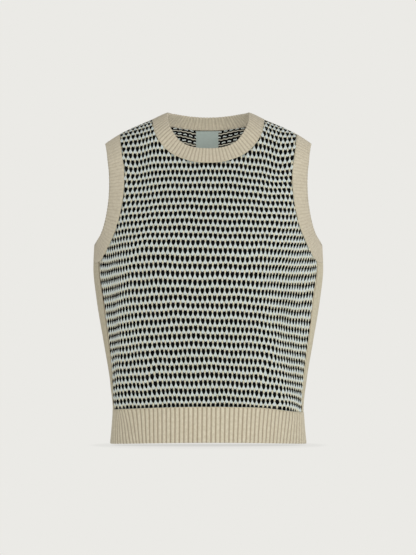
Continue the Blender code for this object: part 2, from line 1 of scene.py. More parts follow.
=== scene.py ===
"""Looks of a sleeveless vest of three-colour knit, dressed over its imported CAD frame.

Every piece of cloth follows one smooth form. A place on the form is a pair: the turn round the
body (0 at the front centre, a quarter turn at the right side, a half turn at the back centre)
and the fall, the way along the cloth down from the shoulder ridge. A stitch has a pair of its
own, its half column and its row, and the stitch lattice turns the one pair into the other.

Metres, +Z up, the front faces -Y.
"""

import logging
import math
from dataclasses import dataclass, field
from enum import Enum

import bpy
import numpy as np
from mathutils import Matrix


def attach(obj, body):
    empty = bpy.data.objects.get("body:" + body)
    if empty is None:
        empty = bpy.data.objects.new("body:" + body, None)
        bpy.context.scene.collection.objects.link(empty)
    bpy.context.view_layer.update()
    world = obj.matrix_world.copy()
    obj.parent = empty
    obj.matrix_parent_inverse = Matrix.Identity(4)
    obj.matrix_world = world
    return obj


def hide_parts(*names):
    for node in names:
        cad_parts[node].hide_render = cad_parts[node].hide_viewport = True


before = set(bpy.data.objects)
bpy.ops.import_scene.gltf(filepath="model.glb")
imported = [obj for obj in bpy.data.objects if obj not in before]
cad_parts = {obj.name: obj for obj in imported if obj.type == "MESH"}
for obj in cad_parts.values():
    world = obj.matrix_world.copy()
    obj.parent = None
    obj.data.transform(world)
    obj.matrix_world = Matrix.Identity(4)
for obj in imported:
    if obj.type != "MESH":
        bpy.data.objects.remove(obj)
LOG = logging.getLogger("knit_vest")
MM = 0.001
SIDE_RADIUS = 0.15   # of the body at the side seams: a way across the cloth over it is a turn
SIDE_RIBS = 24       # ribs across a side panel
Triple = tuple[float, float, float]   # a colour or a point


class Yarn(Enum):
    """The three yarns of the patterned knit, each with the part of a repeat it covers."""

    BLACK = (0.000, 0.371)
    CREAM = (0.371, 0.669)
    MINT = (0.669, 1.000)


class Side(Enum):
    """A side of the body, with the sign of its turns."""

    RIGHT = 1
    LEFT = -1


# Half width of a stitch in half columns over half a repeat: the black drop, then the start of the
# cream below it. Over the other half it is what the neighbour leaves: 1 less this.
DROP_PART = (0.0, 0.04, 0.10, 0.17, 0.25, 0.32, 0.371, 0.42, 0.46, 0.5)
DROP_WIDTH = (0.36, 0.62, 0.77, 0.78, 0.66, 0.44, 0.25, 0.20, 0.34, 0.64)
ON_ROW = 0.1774  # the part of a stitch's repeat that lies on its row
LEAN = 0.055     # how much lower a stitch's middle lies, as a part of the repeat


# --- Curves ------------------------------------------------------------------------------------
def through(xs: np.ndarray, ys: np.ndarray, at: np.ndarray) -> np.ndarray:
    """Smooth curve through points that never overshoots them (cubic pieces, harmonic slopes).

    Args:
        xs: rising places of the points.
        ys: their heights.
        at: where the curve is read; it is held to the ends.

    Returns:
        The heights of the curve.
    """
    xs, ys = np.asarray(xs, float), np.asarray(ys, float)
    step = np.diff(xs)
    rise = np.diff(ys) / step
    slope = np.zeros_like(ys)
    before, after = 2 * step[1:] + step[:-1], step[1:] + 2 * step[:-1]
    with np.errstate(divide="ignore", invalid="ignore"):
        mean = (before + after) / (before / rise[:-1] + after / rise[1:])
    slope[1:-1] = np.where(rise[1:] * rise[:-1] > 0, mean, 0.0)
    slope[0], slope[-1] = rise[0], rise[-1]
    at = np.clip(at, xs[0], xs[-1])
    i = np.clip(np.searchsorted(xs, at) - 1, 0, len(step) - 1)
    t = (at - xs[i]) / step[i]
    start = ys[i] * (1 + 2 * t) * (1 - t) ** 2 + ys[i + 1] * t * t * (3 - 2 * t)
    return start + step[i] * t * (1 - t) * (slope[i] * (1 - t) - slope[i + 1] * t)


def spline(rows: np.ndarray, u: np.ndarray) -> np.ndarray:
    """Catmull-Rom curve through rows[1:-1]; whole numbers of u fall on those rows."""
    i = np.clip(np.floor(u).astype(int), 0, len(rows) - 4)
    t = (u - i)[:, None]
    a, b, c, d = rows[i], rows[i + 1], rows[i + 2], rows[i + 3]
    return b + 0.5 * t * (c - a + t * (2 * a - 5 * b + 4 * c - d + t * (3 * (b - c) + d - a)))


def round_opening(ahead: np.ndarray, behind: np.ndarray, samples: int) -> np.ndarray:
    """Points round an opening: down the spline ahead, then back up the one behind.

    The last point of the one and the first of the other are the same point of the cloth.
    """
    return np.vstack([spline(ahead, np.linspace(0, len(ahead) - 3, samples)),
                      spline(behind, np.linspace(len(behind) - 3, 0, samples))])


def lengths(points: np.ndarray) -> np.ndarray:
    """Way along a line of points, from 0 at its first one."""
    return np.concatenate([[0], np.cumsum(np.linalg.norm(np.diff(points, axis=0), axis=1))])


def patch(bottom: np.ndarray, top: np.ndarray, left: np.ndarray, right: np.ndarray) -> np.ndarray:
    """Coons patch: the two ruled surfaces between facing borders, less that of the corners."""
    s = np.linspace(0, 1, len(bottom))[None, :, None]
    t = np.linspace(0, 1, len(left))[:, None, None]
    ruled = (1 - t) * bottom[None] + t * top[None] + (1 - s) * left[:, None] + s * right[:, None]
    low = (1 - t) * ((1 - s) * bottom[0] + s * bottom[-1])
    return ruled - low - t * ((1 - s) * top[0] + s * top[-1])


def straight(start: np.ndarray, stop: np.ndarray, cells: int) -> np.ndarray:
    """Straight line of places."""
    part = np.linspace(0, 1, cells + 1)[:, None]
    return start * (1 - part) + stop * part


def enclosed(points: np.ndarray, border: np.ndarray, batch: int = 20000) -> np.ndarray:
    """Whether points of the plane lie inside a closed border, by the count of crossings.

    Args:
        points: an array of pairs.
        border: the corners of the border, in order.
        batch: how many points are tested at a time.

    Returns:
        One truth value a point.
    """
    (ax, ay), (bx, by) = border.T, np.roll(border, -1, axis=0).T
    slope = (bx - ax) / np.where(by == ay, 1e-12, by - ay)
    inside = np.zeros(len(points), bool)
    for start in range(0, len(points), batch):
        some = slice(start, start + batch)
        x, y = points[some, :1], points[some, 1:]
        crossed = ((ay > y) != (by > y)) & (x < ax + (y - ay) * slope)
        inside[some] = crossed.sum(axis=1) % 2 == 1
    return inside


def stitch_width(part: np.ndarray) -> np.ndarray:
    """Half width of a stitch in half columns at a part of the repeat."""
    part = np.mod(part, 1.0)
    width = np.interp(np.mod(part, 0.5), DROP_PART, DROP_WIDTH)
    return np.where(part < 0.5, width, 1 - width)


# --- The form ----------------------------------------------------------------------------------
@dataclass(frozen=True)
class Fold:
    """A soft ridge (height over 0) or trough of the cloth, head to foot, in millimetres."""

    head: tuple[float, float]
    foot: tuple[float, float]
    half_width: float
    height: float


def folds(*rows: tuple) -> tuple[Fold, ...]:
    """Folds from rows of head x and z, foot x and z, half width and height."""
    return tuple(Fold((r[0], r[1]), (r[2], r[3]), r[4], r[5]) for r in rows)


@dataclass
class VestForm:
    """The form under the cloth: the CAD's own levels, ridge and folds, with finer creases.

    Tables of points and outward normals are worked out once over a grid of (turn, fall), and
    every piece reads them between the grid's points.
    """

    roll: float = 40 * MM
    sharp_left: float = 2.05
    sharp_right: float = 1.75
    sharp_back: float = 2.3
    turns: int = 720
    falls: int = 304
    fall_step: float = 2 * MM
    first_fall: float = -4 * MM
    rounds: int = 10           # that settle the height and the half width of a point
    swell_power: float = 0.8
    # z, half width, y of the side, y of the front, y of the back
    levels: np.ndarray = field(
        default_factory=lambda: np.array([
            (-536, 157.0, 6, -104, 92), (-500, 153.6, 6, -100, 89), (-476, 152.2, 7, -99, 88),
            (-429, 157.3, 10, -102, 86), (-365, 168.0, 17, -109, 88),
            (-300, 178.8, 25, -119, 94), (-250, 184.0, 29, -124, 100),
            (-205, 182.0, 27, -117, 104), (-150, 180.5, 19, -96, 105),
            (-100, 179.5, 12, -75, 98), (-50, 178.5, 8, -54, 84), (30, 178.0, 5, -40, 58),
        ]) * MM
    )
    # x, z, y of the shoulder ridge
    ridge: np.ndarray = field(
        default_factory=lambda: np.array([
            (-65.0, -1.3, 3), (0.0, 12.0, 2), (65.0, -1.3, 3), (88.6, -11.8, 4),
            (142.6, -36.3, 7), (165.4, -51.3, 9), (186.0, -67.0, 10),
        ]) * MM
    )
    front_folds: tuple[Fold, ...] = folds(
        (-136, -225, -137, -495, 13, 6.0), (-156, -240, -149, -440, 9, -3.5),
        (104, -215, 140, -490, 17, -6.5), (134, -250, 120, -470, 15, 3.0),
        (-84, -300, -96, -510, 24, -3.0), (40, -330, 52, -520, 26, 2.6),
    )
    back_folds: tuple[Fold, ...] = folds(
        (-62, -250, -88, -505, 22, -6.0), (28, -290, 14, -500, 24, 5.0),
        (96, -215, 112, -470, 20, -5.0),
    )
    front_creases: tuple[Fold, ...] = folds(
        (-52, -318, -36, -478, 9, -2.2), (-70, -330, -58, -470, 10, 1.6),
        (150, -232, 146, -330, 7, -1.6), (-122, -206, -96, -300, 10, -1.4),
        (112, -90, 96, -170, 13, -1.2), (-112, -84, -98, -150, 11, -1.2),
        (14, -380, 22, -492, 12, -1.0), (84, -400, 90, -500, 10, 1.2),
    )
    back_creases: tuple[Fold, ...] = folds(
        (-120, -200, -104, -330, 10, -1.8), (64, -330, 50, -490, 11, -2.0),
        (-20, -360, -30, -500, 10, 1.6), (132, -240, 122, -420, 9, -1.8),
        (104, -80, 88, -180, 12, -1.4), (-100, -90, -90, -160, 12, -1.2),
    )

    def __post_init__(self) -> None:
        """Work out the tables."""
        turn = np.linspace(-math.pi / 2, 3 * math.pi / 2, self.turns + 1)
        fall = self.first_fall + self.fall_step * np.arange(self.falls)
        self.turn_grid, fall_grid = np.meshgrid(turn, fall, indexing="ij")
        self.plain = self._plain(self.turn_grid, fall_grid)
        height = self._fold_height(self.plain, self.turn_grid)
        self.table = self.plain + self._outward(self.plain) * height[..., None]
        self.normals = self._outward(self.table)

    def column(self, name: str, z: np.ndarray) -> np.ndarray:
        """A column of the levels read at heights."""
        number = {"half_width": 1, "side": 2, "front": 3, "back": 4}[name]
        return through(self.levels[:, 0], self.levels[:, number], z)

    def ridge_height(self, x: np.ndarray) -> np.ndarray:
        """Height of the shoulder ridge at x."""
        return through(self.ridge[:, 0], self.ridge[:, 1], np.abs(x))

    def fall_of(self, drop: np.ndarray) -> np.ndarray:
        """Way along the cloth for a drop below the ridge: a quarter roll, then straight down."""
        inside = np.arccos(np.clip(1 - drop / self.roll, -1, 1)) * self.roll
        return np.where(drop < self.roll, inside, self.roll * (math.pi / 2 - 1) + drop)

    def _plain(self, turn: np.ndarray, fall: np.ndarray) -> np.ndarray:
        """Points of the smooth form.

        A level section is x = w sin(turn) and y = side -+ depth (1 - |sin(turn)|^n)^(1/n). Near
        the ridge the depth is drawn in to the ridge's own y by the sine of the roll.
        """
        drop = self.roll * (1 - np.cos(np.minimum(np.abs(fall) / self.roll, math.pi / 2)))
        drop = drop + np.maximum(fall - self.roll * math.pi / 2, 0)
        x = self.levels[-1, 1] * np.sin(turn)
        for _ in range(self.rounds):
            z = self.ridge_height(x) - drop
            x = self.column("half_width", z) * np.sin(turn)
        front = np.cos(turn) > 0
        sharp = np.where(front, np.where(x < 0, self.sharp_left, self.sharp_right),
                         self.sharp_back)
        out = np.maximum(1 - np.abs(np.sin(turn)) ** sharp, 0) ** (1 / sharp)
        side = self.column("side", z)
        far = np.where(front, self.column("front", z), self.column("back", z))
        ridge = through(self.ridge[:, 0], self.ridge[:, 2], np.abs(x))
        rolled = np.sin(np.clip(fall / self.roll, -math.pi / 2, math.pi / 2))
        return np.stack([x, ridge + (side + (far - side) * out - ridge) * rolled, z], axis=-1)

    def _outward(self, points: np.ndarray) -> np.ndarray:
        """Unit normals of a table of points: the way down crossed with the way round."""
        along = np.gradient(points, axis=0)
        along[0] = along[-1] = (points[1] - points[-2]) / 2
        normal = np.cross(np.gradient(points, axis=1), along)
        return normal / np.maximum(np.linalg.norm(normal, axis=-1, keepdims=True), 1e-12)

    def _fold_height(self, points: np.ndarray, turn: np.ndarray) -> np.ndarray:
        """Height of the folds: each swells along its length and dies away to its sides.

        Along it that is a power of a sine, and across it a bell over its half width.
        """
        x, z = points[..., 0] / MM, points[..., 2] / MM
        height = np.zeros_like(x)
        front = np.cos(turn) > 0
        for group, here in ((self.front_folds + self.front_creases, front),
                            (self.back_folds + self.back_creases, ~front)):
            for one in group:
                along = np.clip((z - one.head[1]) / (one.foot[1] - one.head[1]), 0, 1)
                across = x - one.head[0] - along * (one.foot[0] - one.head[0])
                swell = np.sin(math.pi * along) ** self.swell_power
                height += here * one.height * swell * np.exp(-(across / one.half_width) ** 2)
        return height * MM

    def read(self, table: np.ndarray, places: np.ndarray) -> np.ndarray:
        """A table read at places, in proportion between the four grid points round each."""
        a = np.mod((places[..., 0] + math.pi / 2) / (2 * math.pi), 1.0) * self.turns
        b = np.clip((places[..., 1] - self.first_fall) / self.fall_step, 0, self.falls - 1.001)
        i, j = np.minimum(a.astype(int), self.turns - 1), b.astype(int)
        s, t = a - i, b - j
        if table.ndim == 3:
            s, t = s[..., None], t[..., None]
        near = (1 - t) * table[i, j] + t * table[i, j + 1]
        return (1 - s) * near + s * ((1 - t) * table[i + 1, j] + t * table[i + 1, j + 1])

    def points(self, places: np.ndarray) -> np.ndarray:
        """Points of the form at places."""
        return self.read(self.table, places)

    def outward(self, places: np.ndarray) -> np.ndarray:
        """Unit normals of the form at places."""
        normal = self.read(self.normals, places)
        return normal / np.linalg.norm(normal, axis=-1, keepdims=True)

    def lifted(self, places: np.ndarray, height: np.ndarray | float) -> np.ndarray:
        """Points at a height over the form: the point plus the height along its normal."""
        height = np.broadcast_to(height, places.shape[:-1])
        return self.points(places) + self.outward(places) * height[..., None]

    def place(self, x: float, z: float, back: bool) -> tuple[float, float]:
        """Turn and fall of the point that stands at (x, z) seen from the front."""
        turn = math.asin(max(-1.0, min(1.0, x / float(self.column("half_width", z)))))
        fall = float(self.fall_of(max(0.0, float(self.ridge_height(x)) - z)))
        return (math.pi - turn if back else turn), fall

    def level_place(self, turn: np.ndarray, z: np.ndarray) -> np.ndarray:
        """Places of points given by their turn and height."""
        x = self.column("half_width", z) * np.sin(turn)
        return np.stack([turn, self.fall_of(self.ridge_height(x) - z)], axis=-1)


# --- Seams -------------------------------------------------------------------------------------
@dataclass
class VestSeams:
    """Seam lines of the vest, as splines of places.

    A band station is seam x, seam z, edge x and edge z in millimetres, seen from the front; a
    height of 99 lies on the shoulder ridge.
    """

    form: VestForm
    on_ridge: float = 99.0
    samples: int = 400         # along a seam, where its length is measured
    neck_front: tuple = (
        (88.6, 99, 63.6, 99), (86.4, -27.5, 64.4, -12.5), (80.2, -42.5, 60.4, -24.5),
        (72.0, -54.5, 54.3, -35.5), (60.2, -65.0, 45.8, -46.0), (44.3, -73.2, 34.0, -53.2),
        (22.5, -79.5, 17.5, -57.4), (0.0, -81.2, 0.0, -58.4),
    )
    neck_back: tuple = (
        (88.6, 99, 63.6, 99), (80.5, -15.8, 59.8, -1.6), (67.0, -19.4, 51.0, -2.9),
        (46.0, -23.6, 35.5, -5.1), (23.0, -27.0, 18.0, -6.8), (0.0, -28.2, 0.0, -7.4),
    )
    arm_front: tuple = (
        (142.6, 99, 165.4, 99), (139.6, -61.0, 161.2, -71.0), (135.4, -91.0, 158.0, -96.0),
        (135.2, -119.0, 157.4, -121.0), (138.6, -148.0, 159.6, -147.0),
        (145.8, -180.0, 164.2, -173.5), (155.0, -204.0, 170.0, -192.5),
        (166.5, -228.0, 177.6, -205.5), (175.6, -240.0, 180.9, -213.0),
    )
    arm_back: tuple = (
        (142.6, 99, 165.4, 99), (141.6, -62.0, 162.6, -72.5), (138.8, -93.0, 160.2, -98.0),
        (138.8, -121.0, 160.0, -123.0), (142.6, -151.0, 162.2, -149.0),
        (150.4, -184.0, 167.2, -176.0), (160.0, -209.0, 173.2, -194.5),
        (173.0, -231.0, 180.0, -207.0),
    )
    underarm: tuple = (184.0, -238.5, 182.6, -212.5)
    # z, and the turn in degrees of the seams before and behind the side panel
    side_seams: np.ndarray = field(
        default_factory=lambda: np.array([
            (-540, 83.0, 98.0), (-476, 81.0, 100.0), (-429, 76.5, 102.0), (-365, 72.3, 105.5),
            (-300, 69.6, 109.5), (-240, 71.5, 113.0), (-180, 74.0, 115.0),
        ])
    )
    hem_seam: tuple = (-471.0, -476.5, -473.0)  # heights at the front, the sides and the back
    hem_edge: tuple = (-527.3, -530.6, -528.2)
    # turn in degrees, and how much lower the hem seam is drawn there, in millimetres
    hem_drawn: tuple = ((-180, 0), (30, 0), (45, 1.6), (55, 3.2), (65, 4.0), (85, 4.6), (130, 0),
                        (180, 0))

    def __post_init__(self) -> None:
        """Work out the spline rows of the armholes and the neckline."""
        front, back = self._stations(self.arm_front, False), self._stations(self.arm_back, True)
        under = self._stations((self.underarm,), False)
        under[:, [0, 2]] = math.pi / 2
        self.arm_ahead = np.vstack([self._over_ridge(back[1]), front, under, back[-1:]])
        self.arm_behind = np.vstack([self._over_ridge(front[1]), back, under, front[-1:]])
        front, back = self._stations(self.neck_front, False), self._stations(self.neck_back, True)
        ahead, behind = self._over_ridge(back[1]), self._over_ridge(front[1])
        self.neck_ahead = np.vstack([
            ahead, front, self._mirrored(front[-2::-1], 0.0), self._mirrored(ahead, 0.0)])
        self.neck_behind = np.vstack([
            behind, back, self._mirrored(back[-2::-1], math.pi), self._mirrored(behind, math.pi)])

    def _stations(self, stations: tuple, back: bool) -> np.ndarray:
        """Seam and edge places of stations at the right side, as rows of four numbers."""
        rows = []
        for seam_x, seam_z, edge_x, edge_z in stations:
            row: tuple[float, ...] = ()
            for x, z in ((seam_x, seam_z), (edge_x, edge_z)):
                height = float(self.form.ridge_height(x * MM)) if z == self.on_ridge else z * MM
                row += self.form.place(x * MM, height, back)
            rows.append(row)
        return np.array(rows)

    @staticmethod
    def _over_ridge(row: np.ndarray) -> np.ndarray:
        """The same row continued over the ridge, counted from the body's other side."""
        return np.array([[math.pi - row[0], -row[1], math.pi - row[2], -row[3]]])

    @staticmethod
    def _mirrored(rows: np.ndarray, centre: float) -> np.ndarray:
        """Rows mirrored in the plane x = 0, round the front or the back centre."""
        return rows * [-1, 1, -1, 1] + [2 * centre, 0, 2 * centre, 0]

    def width(self, rows: np.ndarray, u: np.ndarray) -> np.ndarray:
        """Width of a band across its cloth at each u of its spline."""
        pair = spline(rows, u)
        apart = self.form.points(pair[:, :2]) - self.form.points(pair[:, 2:])
        return np.linalg.norm(apart, axis=1)

    def past(self, rows: np.ndarray, u: np.ndarray, way: np.ndarray | float) -> np.ndarray:
        """Places at a way past the seam in metres: over 0 on the band, under 0 on the panel."""
        pair = spline(rows, u)
        part = (way / self.width(rows, u))[:, None]
        return pair[:, :2] * (1 - part) + pair[:, 2:] * part

    def even(self, count: int, rows: np.ndarray, start: float, stop: float) -> np.ndarray:
        """Values of u that part a seam between start and stop into equal lengths."""
        u = np.linspace(start, stop, self.samples)
        way = lengths(self.form.points(spline(rows, u)[:, :2]))
        return np.interp(np.linspace(0, way[-1], count + 1), way, u)

    def side_turn(self, back: bool, z: np.ndarray) -> np.ndarray:
        """Turn of the front or back side seam at a height."""
        table = self.side_seams
        return np.radians(through(table[:, 0] * MM, table[:, 2 if back else 1], z))

    def hem_height(self, line: tuple, turn: np.ndarray) -> np.ndarray:
        """Height of a hem line: it falls from the front and the back toward the sides."""
        middle = np.where(np.cos(turn) > 0, line[0], line[2])
        height = line[1] + (middle - line[1]) * np.cos(turn) ** 2
        if line is self.hem_seam:
            around = np.degrees((turn + math.pi) % (2 * math.pi) - math.pi)
            height = height - through(*np.array(self.hem_drawn).T, around)
        return height * MM


# --- Mesh making -------------------------------------------------------------------------------
def quads(rows: int, columns: int, wrap_rows: bool = False,
          wrap_columns: bool = False) -> tuple[np.ndarray, np.ndarray]:
    """Faces of a grid of points.

    Args:
        rows: rows of points, which run down the cloth.
        columns: columns of points, which run with the turn.
        wrap_rows: whether the last row joins the first.
        wrap_columns: whether the last column joins the first.

    Returns:
        The faces as point numbers, and for each of their corners its row and column.
    """
    r, c = np.meshgrid(np.arange(rows - (not wrap_rows)), np.arange(columns - (not wrap_columns)),
                       indexing="ij")
    corner_r = np.stack([r, r + 1, r + 1, r], axis=-1).reshape(-1, 4)
    corner_c = np.stack([c, c, c + 1, c + 1], axis=-1).reshape(-1, 4)
    faces = (corner_r % rows) * columns + corner_c % columns
    return faces, np.stack([corner_r, corner_c], axis=-1)


def volume(points: np.ndarray, faces: np.ndarray) -> float:
    """Volume inside a closed mesh of quads, under 0 if its faces point in."""
    a, b, c, d = (points[faces[:, k]] for k in range(4))
    six = np.einsum("ij,ij->i", a, np.cross(b, c)) + np.einsum("ij,ij->i", a, np.cross(c, d))
    return float(six.sum() / 6)


def placed(name: str, data: bpy.types.ID) -> bpy.types.Object:
    """A new object in the scene."""
    made = bpy.data.objects.new(name, data)
    bpy.context.scene.collection.objects.link(made)
    return made


@dataclass
class Cloth:
    """A mesh before it goes into Blender: points, quads, corner coordinates, slots and caps."""

    points: np.ndarray
    faces: np.ndarray
    knit: np.ndarray | None = None
    slots: np.ndarray | None = None
    caps: tuple = ()

    def turned_out(self) -> "Cloth":
        """The same closed mesh with its faces pointing outwards."""
        if volume(self.points, self.faces) < 0:
            self.faces = self.faces[:, ::-1]
            self.knit = None if self.knit is None else self.knit[:, ::-1]
            self.caps = tuple(tuple(reversed(cap)) for cap in self.caps)
        return self

    def piece(self, name: str, *finishes: "Finish", sharp: float | None = None
              ) -> bpy.types.Object:
        """Put the mesh into Blender as one smooth-shaded object in its finishes.

        Args:
            name: the object's name.
            finishes: its finishes, in the order of its slots.
            sharp: the angle in degrees past which an edge is sharp, or none.

        Returns:
            The object, which rides on the frame's one body.
        """
        mesh = bpy.data.meshes.new(name)
        mesh.from_pydata(self.points.tolist(), [], self.faces.tolist() + list(self.caps))
        mesh.shade_smooth()
        if sharp is not None:
            mesh.set_sharp_from_angle(angle=math.radians(sharp))
        if self.knit is not None:
            corners = np.zeros((len(mesh.loops), 2), np.float32)
            corners[: self.faces.size] = self.knit.reshape(-1, 2)
            mesh.uv_layers.new(name="knit").uv.foreach_set("vector", corners.ravel())
        for finish in finishes:
            mesh.materials.append(finish.material())
        if self.slots is not None:
            mesh.polygons.foreach_set("material_index", self.slots.astype(np.int32))
        made = placed(name, mesh)
        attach(made, "root")
        triangles = sum(len(p.vertices) - 2 for p in mesh.polygons)
        LOG.info("%s: %d triangles", name, triangles)
        return made


def joined(parts: list[Cloth]) -> Cloth:
    """Several meshes without corner coordinates as one."""
    start = np.cumsum([0] + [len(p.points) for p in parts])
    return Cloth(
        np.concatenate([p.points for p in parts]),
        np.concatenate([p.faces + n for p, n in zip(parts, start)]),
        caps=tuple(tuple(v + int(n) for v in cap) for p, n in zip(parts, start) for cap in p.caps),
    )


def sleeve(outer: np.ndarray, inner: np.ndarray) -> tuple[Cloth, np.ndarray]:
    """A closed sleeve of two skins.

    Args:
        outer: the grid of points of the right side.
        inner: the same grid on the wrong side.

    Returns:
        The sleeve, its ends capped, and the row and column of each corner of its quads.
    """
    points = np.concatenate([outer, inner[:, ::-1]], axis=1)
    rows, around = points.shape[:2]
    faces, corner = quads(rows, around, wrap_columns=True)
    caps = (tuple(range(around)), tuple(range((rows - 1) * around, rows * around))[::-1])
    return Cloth(points.reshape(-1, 3), faces, caps=caps), corner


# --- Finishes ----------------------------------------------------------------------------------
Socket = bpy.types.NodeSocket


class Wiring:
    """Adds nodes to one node tree and joins their sockets."""

    def __init__(self, tree: bpy.types.NodeTree) -> None:
        """Keep the tree."""
        self.tree = tree

    def add(self, kind: str, **settings: object) -> bpy.types.Node:
        """A new node of a kind, with its settings."""
        node = self.tree.nodes.new(kind)
        for name, value in settings.items():
            setattr(node, name, value)
        return node

    def feed(self, socket: Socket, value: object) -> None:
        """Join a socket to another one, or set it to a plain value."""
        if isinstance(value, bpy.types.NodeSocket):
            self.tree.links.new(value, socket)
        else:
            socket.default_value = value

    def math(self, operation: str, *values: object) -> Socket:
        """The result of a Math node."""
        node = self.add("ShaderNodeMath", operation=operation)
        for socket, value in zip(node.inputs, values):
            self.feed(socket, value)
        return node.outputs[0]

    def wave(self, value: object, rate: float) -> Socket:
        """The sine of a value times a rate."""
        return self.math("SINE", self.math("MULTIPLY", value, rate))

    def near(self, value: Socket, middle: float, half: float) -> Socket:
        """1 where a value lies within a half width of a middle, else 0."""
        off = self.math("ABSOLUTE", self.math("SUBTRACT", value, middle))
        return self.math("LESS_THAN", off, half)

    def place(self) -> Socket:
        """The place on the object, in metres."""
        return self.add("ShaderNodeTexCoord").outputs["Object"]

    def apart(self, vector: Socket) -> tuple[Socket, ...]:
        """The three numbers of a vector."""
        node = self.add("ShaderNodeSeparateXYZ")
        self.feed(node.inputs[0], vector)
        return tuple(node.outputs)

    def use(self, tree: bpy.types.NodeTree, *values: object) -> bpy.types.Node:
        """A node group, fed with values."""
        node = self.add("ShaderNodeGroup", node_tree=tree)
        for socket, value in zip(node.inputs, values):
            self.feed(socket, value)
        return node

    def blend(self, factor: object, low: object, high: object) -> Socket:
        """A colour mixed between two others."""
        node = self.add("ShaderNodeMix", data_type="RGBA")
        for name, value in (("Factor", factor), ("A", low), ("B", high)):
            socket = next(s for s in node.inputs if s.name == name
                          and s.type == ("VALUE" if name == "Factor" else "RGBA"))
            self.feed(socket, value)
        return next(s for s in node.outputs if s.type == "RGBA")

    def noise(self, vector: Socket, scale: object, detail: float) -> Socket:
        """The value of a Noise texture."""
        node = self.add("ShaderNodeTexNoise")
        self.feed(node.inputs["Vector"], vector)
        self.feed(node.inputs["Scale"], scale)
        node.inputs["Detail"].default_value = detail
        return node.outputs["Fac"]

    def curve(self, value: object, points: list[tuple[float, float]]) -> Socket:
        """A number read off a line through points from 0 to 1."""
        node = self.add("ShaderNodeFloatCurve")
        line = node.mapping.curves[0]
        for x, y in points[1:-1]:
            line.points.new(x, y)
        for point, (x, y) in zip((line.points[0], line.points[-1]), (points[0], points[-1])):
            point.location = (x, y)
        for point in line.points:
            point.handle_type = "VECTOR"
        node.mapping.update()
        self.feed(node.inputs["Value"], value)
        return node.outputs[0]

    def step(self, value: object, edge: float, soft: float) -> Socket:
        """0 below an edge and 1 above it, with a soft change between."""
        node = self.add("ShaderNodeMapRange", interpolation_type="SMOOTHSTEP")
        self.feed(node.inputs["Value"], value)
        node.inputs["From Min"].default_value = edge - soft
        node.inputs["From Max"].default_value = edge + soft
        return node.outputs["Result"]


def group(name: str, takes: dict[str, float], gives: tuple[str, ...]
          ) -> tuple[bpy.types.NodeTree, Wiring, bpy.types.Node, bpy.types.Node]:
    """A new shader node group with number sockets.

    Args:
        name: the group's name.
        takes: its inputs and their usual values.
        gives: its outputs.

    Returns:
        The group, its wiring, and its input and output nodes.
    """
    tree = bpy.data.node_groups.new(name, "ShaderNodeTree")
    for label, usual in takes.items():
        made = tree.interface.new_socket(name=label, in_out="INPUT", socket_type="NodeSocketFloat")
        made.default_value = usual
    for label in gives:
        tree.interface.new_socket(name=label, in_out="OUTPUT", socket_type="NodeSocketFloat")
    wire = Wiring(tree)
    return tree, wire, wire.add("NodeGroupInput"), wire.add("NodeGroupOutput")


def yarn_group() -> bpy.types.NodeTree:
    """Wool yarn: Fleck is its uneven shade, and Height the relief of its fibres and twist."""
    if "yarn" in bpy.data.node_groups:
        return bpy.data.node_groups["yarn"]
    tree, wire, takes, gives = group("yarn", {"Fibres": 1500.0, "Patches": 220.0},
                                     ("Fleck", "Height"))
    fine_shade, middle, soft, broad_relief = 0.55, 0.5, 0.22, 0.4
    fine = wire.noise(wire.place(), takes.outputs["Fibres"], 3.0)
    broad = wire.noise(wire.place(), takes.outputs["Patches"], 2.0)
    fleck = wire.math("MULTIPLY_ADD", fine, fine_shade,
                      wire.math("MULTIPLY", broad, 1 - fine_shade))
    wire.feed(gives.inputs["Fleck"], wire.step(fleck, middle, soft))
    wire.feed(gives.inputs["Height"], wire.math("MULTIPLY_ADD", broad, broad_relief, fine))
    return tree


def pattern_group() -> bpy.types.NodeTree:
    """The three-colour repeat over (half column, row).

    A point's column i is the nearest one to u. Its part v of the repeat, counted down, is the
    fraction of ON_ROW - (row - i) / 2. The stitch is as wide as its outline says; past that the
    point belongs to the neighbour, half a repeat on. Each change of colour is a V, lower at the
    middle of the stitch.
    """
    if "pattern" in bpy.data.node_groups:
        return bpy.data.node_groups["pattern"]
    tree, wire, takes, gives = group("pattern", {"Column": 0.0, "Row": 0.0}, ("Black", "Mint"))
    u, row = takes.outputs["Column"], takes.outputs["Row"]
    nearest = wire.math("ROUND", u)
    off = wire.math("ABSOLUTE", wire.math("SUBTRACT", u, nearest))
    half = wire.math("MULTIPLY", wire.math("SUBTRACT", row, nearest), -0.5)
    v = wire.math("FRACT", wire.math("ADD", half, ON_ROW))
    width = wire.curve(v, [(p, w) for p, w in zip(DROP_PART[:-1], DROP_WIDTH)]
                       + [(p + 0.5, 1 - w) for p, w in zip(DROP_PART, DROP_WIDTH)])
    past = wire.math("GREATER_THAN", off, width)
    own = wire.math("DIVIDE", off, width)
    other = wire.math("DIVIDE", wire.math("SUBTRACT", 1.0, off),
                      wire.math("SUBTRACT", 1.0, width))
    across = wire.math("MULTIPLY_ADD", past, wire.math("SUBTRACT", other, own), own)
    v = wire.math("MULTIPLY_ADD", past, 0.5, v)
    v = wire.math("FRACT", wire.math("ADD", v, wire.math(
        "MULTIPLY_ADD", across, LEAN, -LEAN / 2)))
    wire.feed(gives.inputs["Black"], wire.math("LESS_THAN", v, Yarn.BLACK.value[1]))
    wire.feed(gives.inputs["Mint"], wire.math("GREATER_THAN", v, Yarn.MINT.value[0]))
    return tree


